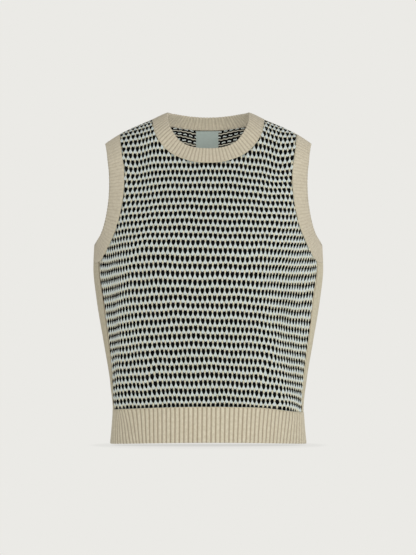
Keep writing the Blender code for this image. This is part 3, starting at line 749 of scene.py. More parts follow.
def stitches_group() -> bpy.types.NodeTree:
    """Plain knit columns over (rib, row): Height is two slanting legs to each stitch."""
    if "plain_stitches" in bpy.data.node_groups:
        return bpy.data.node_groups["plain_stitches"]
    tree, wire, takes, gives = group("plain_stitches", {"Rib": 0.0, "Row": 0.0}, ("Height",))
    off = wire.math("PINGPONG", takes.outputs["Rib"], 0.5)
    rows_up_a_rib = 1.3
    lean = wire.math("MULTIPLY_ADD", off, rows_up_a_rib, takes.outputs["Row"])
    along = wire.math("ABSOLUTE", wire.wave(lean, math.pi))
    wire.feed(gives.inputs["Height"], wire.math("MULTIPLY", along, wire.wave(off, 2 * math.pi)))
    return tree


def linear(*srgb: float) -> tuple[float, float, float, float]:
    """A colour of 0 to 255 as linear light."""
    part = [c / 255 for c in srgb]
    return (*(c / 12.92 if c <= 0.04045 else ((c + 0.055) / 1.055) ** 2.4 for c in part), 1.0)


@dataclass(frozen=True)
class Finish:
    """A matte wool finish of one yarn.

    Attributes:
        name: the material's name.
        slot: the record's slot it stands for; not used.
        deep, pale: the yarn's two shades, from 0 to 255.
        rough: its roughness.
        sheen: how much of the fibres' halo shows.
        bump: height of the fibres in metres.
        gloss: its specular level.
        sheen_rough: the roughness of its halo.
    """

    name: str
    slot: str
    deep: Triple
    pale: Triple
    rough: float = 0.9
    sheen: float = 0.25
    bump: float = 0.25 * MM
    gloss: float = 0.25
    sheen_rough: float = 0.45

    def colour(self, wire: Wiring, fleck: Socket) -> Socket:
        """The yarn's shade."""
        return wire.blend(fleck, linear(*self.deep), linear(*self.pale))

    def relief(self, wire: Wiring, fibres: Socket) -> Socket:
        """The height that the bump reads."""
        return fibres

    def material(self) -> bpy.types.Material:
        """The finish's material, made once."""
        if self.name in bpy.data.materials:
            return bpy.data.materials[self.name]
        made = bpy.data.materials.new(self.name)
        made.use_nodes = True
        wire = Wiring(made.node_tree)
        shader = made.node_tree.nodes["Principled BSDF"]
        yarn = wire.use(yarn_group())
        bump = wire.add("ShaderNodeBump")
        wire.feed(bump.inputs["Distance"], self.bump)
        wire.feed(bump.inputs["Height"], self.relief(wire, yarn.outputs["Height"]))
        for label, value in (
                ("Base Color", self.colour(wire, yarn.outputs["Fleck"])),
                ("Roughness", self.rough), ("Specular IOR Level", self.gloss),
                ("Sheen Weight", self.sheen), ("Sheen Roughness", self.sheen_rough),
                ("Normal", bump.outputs["Normal"])):
            wire.feed(shader.inputs[label], value)
        return made

    @staticmethod
    def knit(wire: Wiring) -> tuple[Socket, Socket]:
        """The two numbers of the piece's knit map."""
        return wire.apart(wire.add("ShaderNodeUVMap", uv_map="knit").outputs["UV"])[:2]


@dataclass(frozen=True)
class PatternFace(Finish):
    """The right side of the patterned knit deep between the raised stitches, its cream and mint darker
    copies of the stitches' yarns as painted shade.
    """

    black: Triple = (9, 9, 10)
    mint: Triple = (166, 176, 173)

    def colour(self, wire: Wiring, fleck: Socket) -> Socket:
        """Black, mint or cream, by the repeat."""
        repeat = wire.use(pattern_group(), *self.knit(wire))
        light = wire.blend(repeat.outputs["Mint"], super().colour(wire, fleck),
                           linear(*self.mint))
        return wire.blend(repeat.outputs["Black"], light, linear(*self.black))


@dataclass(frozen=True)
class PatternBack(Finish):
    """The wrong side of the patterned knit: lines of floats over black.

    Attributes:
        black, mint: the shades of two of its yarns; the third is the finish's own.
        down: sets of lines to each row, under 0 as they are counted down.
        wobble: how far a line swings with the half columns, in rows.
        mint_line, cream_line: middle and half width of a line, as parts of its set.
        dash_turn, dash_row: how fast the dashes of the mint line run with the half columns and
            the rows, and dash_edge the sine over which there is one.
        ridge_turn, ridge: how fast the ridges run with the rows, and their share of the bump.
    """

    black: Triple = (14, 14, 15)
    mint: Triple = (212, 220, 215)
    down: float = -1.25
    wobble: float = 0.04
    mint_line: tuple[float, float] = (0.32, 0.105)
    cream_line: tuple[float, float] = (0.77, 0.10)
    dash_turn: float = 0.85 * math.pi
    dash_row: float = 1.5
    dash_edge: float = -0.35
    ridge_turn: float = 6 * math.pi
    ridge: float = 1.2

    def colour(self, wire: Wiring, fleck: Socket) -> Socket:
        """Down a set of lines: black, mint dashes on black, black again, and cream."""
        column, row = self.knit(wire)
        swung = wire.math("MULTIPLY_ADD", wire.wave(column, math.pi), self.wobble, row)
        part = wire.math("FRACT", wire.math("MULTIPLY", swung, self.down))
        slant = wire.math("MULTIPLY_ADD", row, self.dash_row,
                          wire.math("MULTIPLY", column, self.dash_turn))
        dash = wire.math("GREATER_THAN", wire.math("SINE", slant), self.dash_edge)
        mint = wire.math("MULTIPLY", dash, wire.near(part, *self.mint_line))
        shade = wire.blend(wire.near(part, *self.cream_line), linear(*self.black),
                           super().colour(wire, fleck))
        return wire.blend(mint, shade, linear(*self.mint))

    def relief(self, wire: Wiring, fibres: Socket) -> Socket:
        """Ridges along the floats."""
        _, row = self.knit(wire)
        return wire.math("MULTIPLY_ADD", wire.wave(row, self.ridge_turn), self.ridge, fibres)


@dataclass(frozen=True)
class RibFinish(Finish):
    """Plain rib, with the legs of its stitches in the bump and painted shade in the hollows between its
    ribs.

    Attributes:
        stitch: the legs' share of the bump.
        hollow: how much painted shade darkens the hollows between the ribs.
        hollow_shade_tint: what each colour channel is multiplied by in that painted shade.
            hollow_shade_edge, hollow_shade_soft: the share of a rib's height where the painted shade
                sets in, and the softness.
    """

    stitch: float = 0.8
    hollow: float = 0.0
    hollow_shade_tint: Triple = (0.68, 0.59, 0.56)
    hollow_shade_edge: float = 0.42
    hollow_shade_soft: float = 0.34

    def colour(self, wire: Wiring, fleck: Socket) -> Socket:
        """The yarn's colour, with painted shade down in the hollow between two ribs."""
        rib, _ = self.knit(wire)
        crest = wire.math("ABSOLUTE", wire.wave(rib, math.pi))
        # painted shade: the colour darkens toward the groove between two ribs
        shut = wire.math("MULTIPLY", wire.math(
            "SUBTRACT", 1.0, wire.step(crest, self.hollow_shade_edge, self.hollow_shade_soft)), self.hollow)
        return wire.blend(shut, super().colour(wire, fleck),
                          linear(*(p * c for p, c in zip(self.hollow_shade_tint, self.deep))))

    def relief(self, wire: Wiring, fibres: Socket) -> Socket:
        """Stitch legs over the fibres."""
        plain = wire.use(stitches_group(), *self.knit(wire))
        return wire.math("MULTIPLY_ADD", plain.outputs["Height"], self.stitch, fibres)


@dataclass(frozen=True)
class SideFinish(RibFinish):
    """The side panel's rib, with painted shade beside the seams before and behind it.

    Attributes:
        seam_shade: the colour of the painted shade beside the seams.
        ribs: ribs across the panel.
        join_edge, join_soft: ribs from the seam to the end of the painted shade, and its softness.
    """

    seam_shade: Triple = (112, 93, 70)
    ribs: int = SIDE_RIBS
    join_edge: float = 0.55
    join_soft: float = 0.5

    def colour(self, wire: Wiring, fleck: Socket) -> Socket:
        """The rib's colour, turning to the painted shade within a rib of a seam."""
        rib, _ = self.knit(wire)
        # painted shade: the colour darkens within a rib of either seam
        way = wire.math("PINGPONG", rib, self.ribs / 2)
        return wire.blend(wire.step(way, self.join_edge, self.join_soft), linear(*self.seam_shade),
                          super().colour(wire, fleck))


@dataclass(frozen=True)
class LabelFinish(Finish):
    """Smooth woven tape: a fine satin weave of warp and weft pitches in metres."""

    warp: float = 0.0006
    weft: float = 0.0005
    weave: float = 0.5

    def relief(self, wire: Wiring, fibres: Socket) -> Socket:
        """The product of the warp's ridges and the weft's, over the fibres."""
        x, _, z = wire.apart(wire.place())
        crossed = wire.math("MULTIPLY", wire.wave(x, 2 * math.pi / self.warp),
                            wire.wave(z, 2 * math.pi / self.weft))
        return wire.math("MULTIPLY_ADD", crossed, self.weave, fibres)


STITCH_FINISH = {
    Yarn.BLACK: Finish("black_stitches", "pattern_knit", (3, 3, 4), (10, 10, 11), sheen=0.0,
                       gloss=0.08),
    Yarn.CREAM: Finish("cream_stitches", "pattern_knit", (214, 209, 184), (232, 228, 206)),
    Yarn.MINT: Finish("mint_stitches", "pattern_knit", (206, 215, 212), (226, 234, 231)),
}
# painted shade: the shell's cream and mint are darker copies of the stitch yarns, for the shade between
# the raised stitches
PATTERN_FACE_SHADED = PatternFace("pattern_face_shaded", "pattern_knit", (150, 142, 118), (172, 164, 140))
PATTERN_BACK = PatternBack("pattern_wrong_side", "pattern_knit", (184, 180, 162), (204, 200, 184),
                           sheen=0.0, gloss=0.1)
# each band's hollow sets how much painted shade lies in the grooves between its ribs
HEM_KNIT = RibFinish("hem_rib_knit", "cream_rib", (206, 197, 171), (226, 218, 195), hollow=0.62)
NECK_KNIT = RibFinish("neck_rib_knit", "cream_rib", (198, 189, 166), (217, 208, 186), hollow=0.35)
ARM_KNIT = RibFinish("arm_rib_knit", "cream_rib", (203, 193, 170), (222, 213, 191), hollow=0.1)
# painted shade: the left panel is a darker copy of the same cream, for the side turned from the key
# lamp, and its seam shade is darker too
CREAM_SIDE = {
    Side.RIGHT: SideFinish("cream_side_knit_right", "cream_rib", (196, 187, 160), (224, 216, 192),
                           seam_shade=(168, 152, 124)),
    Side.LEFT: SideFinish("cream_side_knit_left_shaded", "cream_rib", (188, 178, 151), (216, 207, 182),
                          seam_shade=(104, 86, 64)),
}
SEAM_YARN = Finish("seam_yarn", "cream_rib", (198, 188, 160), (216, 207, 182))
LABEL_TAPE = LabelFinish("label_tape", "woven_label", (164, 176, 170), (172, 185, 179),
                         rough=0.55, sheen=0.1, bump=0.08 * MM)


# --- The stitch lattice ------------------------------------------------------------------------
@dataclass
class StitchLattice:
    """Half columns and rows of the knit over the front or the back.

    The half column is the way across the cloth from the centre line over half a column pitch.
    Below the chest line the row is read from the centre line's own rows at a height raised
    toward the sides by the sag; above it, by the way up along the cloth.
    """

    form: VestForm
    back: bool
    centre_x: float = -1.3 * MM
    column_pitch: tuple = ((-0.47, -0.30), (7.2 * MM, 7.8 * MM))   # at two heights
    chest: float = -100 * MM
    upper_pitch: float = 12.1 * MM   # way from row to row above the chest
    back_pitch: float = 12.4 * MM    # the same on the back, below the chest
    back_start: float = -0.459       # height of the back's row 0
    back_sag: float = 6 * MM         # how much lower its rows lie at the sides than at the centre
    # the same in front: height and sag, in millimetres
    sag: tuple = ((-446, 5.6), (-348, 11.5), (-247, 4.5), (-188, 6.0), (-141, 6.6), (-100, 6.0))
    neck_rise: float = 3.5     # rows by which the back's knit rises beside the neck, a half width
    neck_spread: float = 0.3   # share of the half width over which it rises
    neck_round: float = 0.06   # share over which the rise sets in softly
    neck_heights: tuple = (-0.16, -0.06)  # heights over which it sets in
    slant_from: float = 20.0   # half column past which the right flank's stitches lean
    slant_over: float = 12.0   # half columns over which the lean sets in
    slant_most: float = 0.19   # how far they lean, in half columns
    slant_skew: float = 0.3    # how much faster the shift falls back than it grows
    slant_rows: tuple = (8, 12, 21, 26)   # the rows where the lean sets in and ends
    # seen heights of the rows of black stitches at the front centre, down to the first row
    first_row: int = -7
    row_heights: tuple = (
        -86.6, -96.8, -107.4, -118.9, -130.2, -141.8, -153.4, -164.5, -176.0, -187.7, -198.7,
        -210.2, -222.6, -236.0, -247.5, -259.8, -272.8, -285.6, -298.1, -310.7, -323.0, -335.7,
        -348.0, -360.5, -372.5, -385.0, -397.8, -409.9, -422.7, -434.9, -447.2, -458.9, -469.0,
        -480.5, -493.0, -505.5, -518.0, -530.5, -543.0,
    )

    # How the front's knit is drawn out of true: half columns and rows to add at each height of
    # drawn_z, at each share of the half width in drawn_share.
    drawn_share: tuple = (-0.97, -0.88, -0.78, -0.65, -0.45, 0.0, 0.45, 0.65, 0.78, 0.88, 0.97)
    drawn_z: tuple = (-465, -420, -370, -320, -275, -230, -180, -130, -90, -50)
    drawn_columns: np.ndarray = field(
        default_factory=lambda: np.array([
            (2.5, 0.1, -0.3, -0.7, -1.8, -1.5, -1.3, -2.3, -4.5, -5.5, -3.3),
            (2.2, 0.1, 0.2, 0.6, -0.8, -0.9, -0.6, -1.8, -2.2, -0.6, 0.9),
            (-3.0, -2.8, -1.1, 0.8, -0.1, -0.3, 0.3, -0.6, 1.8, 3.9, 4.1),
            (-8.0, -5.4, -2.6, 0.2, 0.3, 0.0, 0.5, 1.5, 5.6, 6.2, 5.6),
            (-8.6, -5.8, -2.7, 0.2, 0.4, 0.0, -0.1, 1.9, 5.3, 5.6, 5.8),
            (-7.0, -4.2, -1.1, 1.1, 0.6, -0.1, -0.9, -0.2, 1.6, 3.3, 5.1),
            (-4.1, -2.5, -0.9, -0.5, -0.6, -0.3, -0.2, -1.3, -0.8, 1.7, 3.9),
            (-4.2, -3.3, -2.9, -3.3, -2.1, -0.4, 1.0, 0.9, 0.4, 1.3, 2.3),
            (-4.2, -4.3, -4.8, -5.0, -2.6, -0.3, 2.0, 3.4, 3.1, 1.6, 0.6),
            (-4.2, -4.3, -4.8, -5.0, -2.6, -0.3, 2.0, 3.4, 3.1, 1.6, 0.6),
        ])
    )
    drawn_rows: np.ndarray = field(
        default_factory=lambda: np.array([
            (-0.06, -0.06, -0.03, -0.07, -0.11, -0.12, -0.03, 0.18, 0.17, 0.23, 0.84),
            (0.15, -0.09, -0.15, -0.11, -0.21, -0.19, -0.08, 0.22, 0.36, 0.63, 0.76),
            (0.32, 0.01, -0.14, -0.15, -0.23, -0.16, -0.03, 0.17, 0.46, 0.61, 0.48),
            (0.42, 0.29, 0.09, -0.16, -0.19, -0.10, 0.04, 0.21, 0.39, 0.23, 0.09),
            (0.48, 0.49, 0.22, -0.16, -0.15, -0.01, 0.05, 0.19, 0.14, -0.05, -0.15),
            (0.51, 0.42, 0.11, -0.18, -0.30, -0.02, -0.06, -0.02, -0.06, -0.08, -0.20),
            (0.51, 0.34, 0.13, 0.03, -0.25, -0.02, 0.04, -0.02, 0.02, 0.01, -0.15),
            (0.48, 0.37, 0.26, 0.21, -0.02, -0.03, 0.25, 0.34, 0.28, 0.16, -0.06),
            (0.44, 0.26, 0.23, 0.39, 0.04, 0.00, 0.33, 0.94, 0.57, 0.17, 0.03),
            (0.44, 0.50, 0.55, 0.58, 0.00, 0.00, 0.22, 1.10, 0.72, 0.35, 0.03),
        ])
    )

    # first guess of a place: turn of a half column, fall of row 0 and of a row, and their bounds
    guess_turn: float = 3.9 * MM / 0.19
    guess_reach: float = 1.2
    guess_foot: float = 0.49
    guess_pitch: float = 12.3 * MM
    guess_falls: tuple = (0.01, 0.58)
    # Newton's steps: how many, the longest in turn and fall, and the bounds of the places
    newton_steps: int = 14
    longest: tuple = (0.3, 0.08)
    least_det: float = 1e-6
    reach: float = 1.54
    falls: tuple = (-0.002, 0.6)

    def __post_init__(self) -> None:
        """Work out the tables of half columns and rows, and of their slopes."""
        form = self.form
        half = form.turns // 2
        first = half if self.back else 0
        here = slice(first, first + half + 1)
        points, turn = form.plain[here], form.turn_grid[here]
        z = points[..., 2]
        levels = np.arange(-548, -59, 6) * MM
        rise = z[:, ::-1]
        x = np.array([np.interp(levels, rise[j], points[j, ::-1, 0]) for j in range(half + 1)])
        y = np.array([np.interp(levels, rise[j], points[j, ::-1, 1]) for j in range(half + 1)])
        arc = np.vstack([np.zeros(len(levels)), np.cumsum(
            np.hypot(np.diff(x, axis=0), np.diff(y, axis=0)), axis=0)])
        arc = arc - arc[half // 2]
        across = np.array([np.interp(z[j], levels, arc[j]) for j in range(half + 1)])
        if not self.back:
            across = across - self.centre_x
        pitch = np.interp(z, *self.column_pitch)
        way = np.concatenate([np.zeros((half + 1, 1)), np.cumsum(
            np.linalg.norm(np.diff(points, axis=1), axis=-1), axis=1)], axis=1)
        side = np.sin(turn) ** 2
        if self.back:
            centre, centre_way = rise[half // 2], way[half // 2, ::-1]
            zero = np.interp(self.back_start, centre, centre_way)
            low = (zero - np.interp(z + self.back_sag * side, centre, centre_way)
                   ) / self.back_pitch
        else:
            heights = np.array(self.row_heights[::-1]) * MM
            sag = np.interp(z, *(np.array(self.sag) * MM).T)
            low = np.interp(z + sag * side, heights, np.arange(len(heights)) + self.first_row)
        row = np.empty_like(z)
        for j in range(half + 1):
            chest_row = np.interp(self.chest, rise[j], low[j, ::-1])
            chest_way = np.interp(self.chest, rise[j], way[j, ::-1])
            above = chest_row + (chest_way - way[j]) / self.upper_pitch
            row[j] = np.where(z[j] > self.chest, above, low[j])
        if self.back:
            beside = np.minimum(np.hypot(np.sin(turn), self.neck_round) - self.neck_round,
                                self.neck_spread)
            row = row - self.neck_rise * beside * np.interp(z, self.neck_heights, (0, 1))
        else:
            across = across + self._drawn(self.drawn_columns, turn, z) * pitch / 2
            row = row + self._drawn(self.drawn_rows, turn, z)
        # the hand's unevenness: two slow waves each
        uneven = 0.07 * np.sin(61 * z + 2 * np.sin(5 * turn)) + 0.05 * np.sin(143 * z + 9 * turn)
        drift = 0.045 * np.sin(11 * turn + 35 * z) + 0.03 * np.sin(23 * turn - 57 * z)
        self.columns, self.rows, *self.slopes = np.zeros((6, *form.turn_grid.shape))
        self.columns[here] = across / (pitch / 2) + uneven
        self.rows[here] = row + drift
        step = 2 * math.pi / form.turns
        for k, table in enumerate((self.columns, self.rows)):
            by_turn, by_fall = np.gradient(table[here], step, form.fall_step)
            self.slopes[2 * k][here], self.slopes[2 * k + 1][here] = by_turn, by_fall

    def _drawn(self, table: np.ndarray, turn: np.ndarray, z: np.ndarray) -> np.ndarray:
        """A table of the drawn knit read over the panel: along its shares, then up its heights."""
        share = np.sin(turn[:, 0])
        lines = np.array([through(self.drawn_share, line, share) for line in table])
        heights = np.array(self.drawn_z) * MM
        return np.array([through(heights, lines[:, j], z[j]) for j in range(len(share))])

    def read(self, places: np.ndarray) -> np.ndarray:
        """Half column and row at places."""
        return np.stack([self.form.read(self.columns, places), self.form.read(self.rows, places)],
                        axis=-1)

    def slant(self, column: np.ndarray, row: np.ndarray) -> np.ndarray:
        """How far the stitches of the front's right flank lean out, in half columns.

        The shift grows from the foot of each row to its head and falls back between the rows.
        """
        if self.back:
            return np.zeros_like(column)
        part = np.clip((column - self.slant_from) / self.slant_over, 0, 1) * np.interp(
            row, self.slant_rows, (0, 1, 1, 0))
        way = 2 * math.pi * row
        shift = np.sin(way) - self.slant_skew * np.sin(2 * way)
        return self.slant_most * part**2 * (3 - 2 * part) * shift

    def locate(self, column: np.ndarray, row: np.ndarray) -> np.ndarray:
        """Places of half columns and rows, by Newton's steps on the tables."""
        centre = math.pi if self.back else 0.0
        turn = centre + np.clip(column * self.guess_turn, -self.guess_reach, self.guess_reach)
        fall = np.clip(self.guess_foot - row * self.guess_pitch, *self.guess_falls)
        places, longest = np.stack([turn, fall], axis=-1), np.array(self.longest)
        low, high = (centre - self.reach, self.falls[0]), (centre + self.reach, self.falls[1])
        for _ in range(self.newton_steps):
            a, b, c, d = (self.form.read(slope, places) for slope in self.slopes)
            now = self.read(places)
            e, f = column - now[..., 0], row - now[..., 1]
            det = a * d - b * c
            det = np.where(np.abs(det) < self.least_det, self.least_det, det)
            steps = np.stack([(e * d - b * f) / det, (a * f - e * c) / det], axis=-1)
            places = np.clip(places + np.clip(steps, -longest, longest), low, high)
        return places


# --- Panels ------------------------------------------------------------------------------------
@dataclass
class PatternPanel:
    """The front or the back: a thin shell of cloth under raised stitches in three yarns."""

    form: VestForm
    seams: VestSeams
    back: bool
    strap_cells: int = 22
    neck_cells: int = 56
    rows: tuple[int, int, int] = (76, 46, 24)
    skin: float = -0.5 * MM
    lining: float = -2.2 * MM
    inset: float = 0.1 * MM
    samples: int = 600         # along the armhole, where the side seam is sought on it
    stitch_low: float = -0.5 * MM    # height of a leg's rim, of its crest, and past the border
    stitch_top: float = 0.75 * MM
    stitch_sunk: float = -1.5 * MM
    # a leg's points along and across it as shares, each with how far it stands out
    leg_along: tuple = (
        (0.0, 0.0), (0.12, 0.8), (0.35, 1.0), (0.62, 1.0), (0.86, 0.75), (1.0, 0.0))
    leg_across: tuple = ((0.02, 0.12), (0.30, 1.0), (0.72, 1.0), (0.98, 0.15))
    # how uneven the stitches are: shift in half columns, drop, size and swell as shares
    stray: tuple = (0.03, 0.008, 0.03, 0.07)
    middles_inside: float = 2.2 * MM   # a stitch is made if its middle is that far in the border
    points_inside: float = 0.4 * MM    # and stands out where its points are that far in it
    whole_columns: tuple = (-64, 65)   # half columns and rows that reach past every border
    whole_rows: tuple = (-3, 44)

    @property
    def name(self) -> str:
        """The CAD node that the panel stands for."""
        return "back" if self.back else "front"

    def other(self, places: np.ndarray) -> np.ndarray:
        """The same places at the left side."""
        return places * [-1, 1] + [2 * math.pi if self.back else 0.0, 0]

    def places(self, inset: float) -> np.ndarray:
        """Grid of places: Coons patches below the neckline and over the two straps.

        Args:
            inset: how far the panel stops short of its seams.

        Returns:
            Rows from the hem seam up to the ridge; the gap between the straps is NaN.
        """
        seams, form = self.seams, self.form
        centre, way = (math.pi, -1.0) if self.back else (0.0, 1.0)
        arm = seams.arm_behind if self.back else seams.arm_ahead
        neck = seams.neck_behind if self.back else seams.neck_ahead
        level, corner = (1, 2) if self.back else (2, 4)
        last, cells = len(neck) - 3, 2 * self.strap_cells + self.neck_cells
        lower_rows, upper_rows, strap_rows = self.rows

        def seam_side(z: np.ndarray) -> np.ndarray:
            """Turn of the panel's right edge along the side seam."""
            return seams.side_turn(self.back, z) - way * inset / SIDE_RADIUS

        u = np.linspace(level, len(arm) - 3, self.samples)
        arm_line = seams.past(arm, u, -inset)
        apart = way * (arm_line[:, 0] - seam_side(form.points(arm_line)[:, 2]))
        meet = float(np.interp(0.0, apart, u))
        under = seams.past(arm, np.array([meet]), -inset)[0]
        turn = seam_side(seams.hem_seam[1] * MM)
        turns = np.linspace(2 * centre - turn, turn, cells + 1)
        foot = form.level_place(turns, seams.hem_height(seams.hem_seam, turns) + inset)
        under_z = float(form.points(under)[2])
        sides = []
        for end in (foot[-1], self.other(foot[0])):
            heights = np.linspace(float(form.points(end)[2]), under_z, lower_rows + 1)
            side = form.level_place(seam_side(heights), heights)
            side[0], side[-1] = end, under
            sides.append(side)
        turns = np.linspace(2 * centre - under[0], under[0], cells + 1)
        waist = form.level_place(turns, np.full(cells + 1, under_z))
        waist[0], waist[-1] = self.other(under), under
        lower = patch(foot, waist, self.other(sides[1]), sides[0])

        rise = seams.past(arm, np.linspace(meet, level, upper_rows + 1), -inset)
        base = seams.past(neck, seams.even(self.neck_cells, neck, last - corner, corner), -inset)
        shelf = straight(self.other(rise[-1]), base[0], self.strap_cells)
        right_shelf = straight(base[-1], rise[-1], self.strap_cells)
        upper = patch(waist, np.vstack([shelf, base[1:-1], right_shelf]), self.other(rise), rise)

        outer = seams.past(arm, seams.even(strap_rows, arm, level, 0), -inset)
        inner = seams.past(neck, seams.even(strap_rows, neck, corner, 0), -inset)
        outer[-1, 1] = inner[-1, 1] = inset
        right = patch(right_shelf, straight(inner[-1], outer[-1], self.strap_cells), inner, outer)
        whole = np.full((sum(self.rows) + 1, cells + 1, 2), np.nan)
        whole[: lower_rows + 1] = lower
        whole[lower_rows + upper_rows :, : self.strap_cells + 1] = self.other(right)[:, ::-1]
        whole[lower_rows + upper_rows :, -self.strap_cells - 1 :] = right
        whole[lower_rows : lower_rows + upper_rows + 1] = upper
        return whole

    def border(self, inset: float) -> np.ndarray:
        """Closed border of the panel as places."""
        grid, strap = self.places(inset), self.strap_cells
        shelf = self.rows[0] + self.rows[1]
        right = [grid[:, -1], grid[-1, -2 : -strap - 2 : -1], grid[-2:shelf:-1, -strap - 1]]
        base = [grid[shelf, -strap - 1 : strap : -1]]
        left = [grid[shelf:, strap], grid[-1, strap - 1 :: -1], grid[-2::-1, 0]]
        return np.vstack(right + base + left + [grid[0, 1:-1]])

    def shell(self, lattice: StitchLattice) -> Cloth:
        """Two skins of cloth over the grid of places, closed by a rim."""
        places = self.places(self.inset)
        there = ~np.isnan(places[..., 0])
        number = np.where(there, np.cumsum(there).reshape(there.shape) - 1, -1)
        flat = places[there]
        total = len(flat)
        points = np.vstack([self.form.lifted(flat, h) for h in (self.skin, self.lining)])
        knit = lattice.read(flat)
        knit[:, 0] -= lattice.slant(*knit.T)
        knit = np.tile(knit, (2, 1))
        # faces of the one skin, then of the other, then of the rim along edges of a single face
        cells, _ = quads(*there.shape)
        cells = number.ravel()[cells[:, ::-1]]
        cells = cells[(cells >= 0).all(axis=1)]
        edges = np.stack([cells, np.roll(cells, -1, axis=1)], axis=-1).reshape(-1, 2)
        code, back_code = edges @ [total, 1], edges[:, ::-1] @ [total, 1]
        a, b = edges[~np.isin(code, back_code)].T
        rim = np.stack([a + total, b + total, b, a], axis=-1)
        faces = np.vstack([cells, cells[:, ::-1] + total, rim])
        slots = np.repeat([0, 1, 0], [len(cells), len(cells), len(rim)])
        return Cloth(points, faces, knit[faces], slots).turned_out()

    def stitches(self, lattice: StitchLattice, yarn: Yarn, seed: int) -> Cloth:
        """Raised stitches of one yarn: each is two legs that lean in to a point.

        Along a leg the part of the repeat runs over the yarn's own stretch. Across it the
        distance from the stitch's middle runs to the stitch's half width, and the leg lies
        lower the nearer it is to the middle. Its height is a bump across times a bump along.
        """
        start, stop = yarn.value
        column, row = np.meshgrid(np.arange(*self.whole_columns), np.arange(*self.whole_rows),
                                  indexing="ij")
        ours = (column + row) % 2 == 0
        column, row = column[ours].astype(float), row[ours].astype(float)
        centre = lattice.locate(column, row + 2 * (ON_ROW - (start + stop) / 2))
        kept = enclosed(centre, self.border(self.middles_inside))
        column, row = column[kept], row[kept]
        chance = np.random.default_rng(seed)
        draws = chance.normal(0, 1, (4, len(column), 1, 1, 1)).clip(-2, 2)
        shift, drop, size, swell = (part * draw for part, draw in zip(self.stray, draws))

        side = np.array([-1.0, 1.0])[:, None, None]
        along, lift_along = np.array(self.leg_along).T[:, None, :, None]
        across, lift_across = np.array(self.leg_across).T[:, None, None, :]
        v = start + (stop - start) * along - LEAN * (across - 0.5)
        width = stitch_width(v) * (1 + size)
        u = column[:, None, None, None] + side * across * width + shift
        v = v + drop
        r = row[:, None, None, None] + 2 * (ON_ROW - v)
        height = self.stitch_low + (self.stitch_top - self.stitch_low) * (
            lift_along * lift_across * (1 + swell))
        points_a_leg = along.size * across.size
        u, r, height = (np.broadcast_to(a, u.shape).reshape(-1) for a in (u, r, height))
        places = lattice.locate(u + lattice.slant(u, r), r)
        height = np.where(enclosed(places, self.border(self.points_inside)), height,
                          self.stitch_sunk)
        leg, _ = quads(along.size, across.size)
        legs = np.vstack([leg[:, ::-1], leg + points_a_leg])
        first = np.arange(len(column))[:, None, None] * 2 * points_a_leg
        faces = (first + legs[None]).reshape(-1, 4)
        knit = np.stack([u, r], axis=-1)
        return Cloth(self.form.lifted(places, height), faces, knit[faces])

    def build(self) -> bpy.types.Object:
        """The panel's shell and its stitches."""
        lattice = StitchLattice(self.form, self.back)
        shell = self.shell(lattice).piece(f"{self.name}_cloth", PATTERN_FACE_SHADED, PATTERN_BACK)
        made = [
            self.stitches(lattice, yarn, 7 + k + 10 * self.back).piece(
                f"{self.name}_{yarn.name.lower()}_stitches", STITCH_FINISH[yarn])
            for k, yarn in enumerate(Yarn)
        ]
        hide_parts(self.name)
        return shell


@dataclass
class SidePanel:
    """A plain side panel of fine rib between the front and the back."""

    form: VestForm
    seams: VestSeams
    ribs: int = SIDE_RIBS
    points_a_rib: int = 6
    rows: int = 56
    rows_a_cell: float = 0.9   # rows of stitches to each row of cells
    rib_power: float = 0.7
    samples: int = 300         # along the foot of the armhole
    hem_z: float = -0.476      # height at which the side seams are taken to meet the hem
    crest: float = 0.25 * MM
    groove: float = -0.35 * MM
    lining: float = -2.2 * MM
    inset: float = 0.1 * MM

    def places(self, columns: int, side: Side) -> np.ndarray:
        """Grid of places of a panel, hem seam to armhole, front seam to back seam.

        It is worked out on the right side; only the height of the hem seam is the side's own.
        """
        form, seams, inset = self.form, self.seams, self.inset
        lines = []
        for rows in (seams.arm_ahead, seams.arm_behind):
            u = np.linspace(len(rows) - 7, len(rows) - 3, self.samples)
            lines.append(seams.past(rows, u, -inset))
        top = np.vstack([lines[0], lines[1][-2::-1]])
        top_z = form.points(top)[:, 2]
        start = seams.side_turn(False, top_z) + inset / SIDE_RADIUS
        stop = seams.side_turn(True, top_z) - inset / SIDE_RADIUS
        inside = (top[:, 0] >= start) & (top[:, 0] <= stop)
        kept, kept_z = top[inside], top_z[inside]
        turns = np.linspace(kept[0, 0], kept[-1, 0], columns + 1)
        head = np.stack([turns, np.interp(turns, kept[:, 0], kept[:, 1])], axis=-1)
        borders = []
        for back, part, z in ((False, inset, kept_z[0]), (True, -inset, kept_z[-1])):
            corner = side.value * seams.side_turn(back, np.array(self.hem_z))
            hem = float(seams.hem_height(seams.hem_seam, corner))
            heights = np.linspace(hem + inset, z, self.rows + 1)
            turn = seams.side_turn(back, heights) + part / SIDE_RADIUS
            borders.append(form.level_place(turn, heights))
        borders[0][-1], borders[1][-1] = head[0], head[-1]
        turns = np.linspace(borders[0][0, 0], borders[1][0, 0], columns + 1)
        foot = form.level_place(
            turns, seams.hem_height(seams.hem_seam, side.value * turns) + inset)
        borders[0][0], borders[1][0] = foot[0], foot[-1]
        return patch(foot, head, borders[0], borders[1])

    def build(self, side: Side) -> bpy.types.Object:
        """One side panel: a sleeve of two skins, with its ribs raised in the outer one."""
        columns = self.ribs * self.points_a_rib
        places = self.places(columns, side) * [side.value, 1]
        rib = np.abs(np.sin(math.pi * np.arange(columns + 1) / self.points_a_rib))
        height = self.groove + (self.crest - self.groove) * rib**self.rib_power
        cloth, corner = sleeve(self.form.lifted(places, height),
                               self.form.lifted(places, self.lining))
        row, number = corner[..., 0], corner[..., 1]
        number = np.where(number <= columns, number, 2 * columns + 1 - number)
        cloth.knit = np.stack([number / self.points_a_rib, row * self.rows_a_cell], axis=-1)
        name = f"side_panel_{side.name.lower()}"
        made = cloth.turned_out().piece(f"{name}_cloth", CREAM_SIDE[side])
        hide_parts(name)
        return made


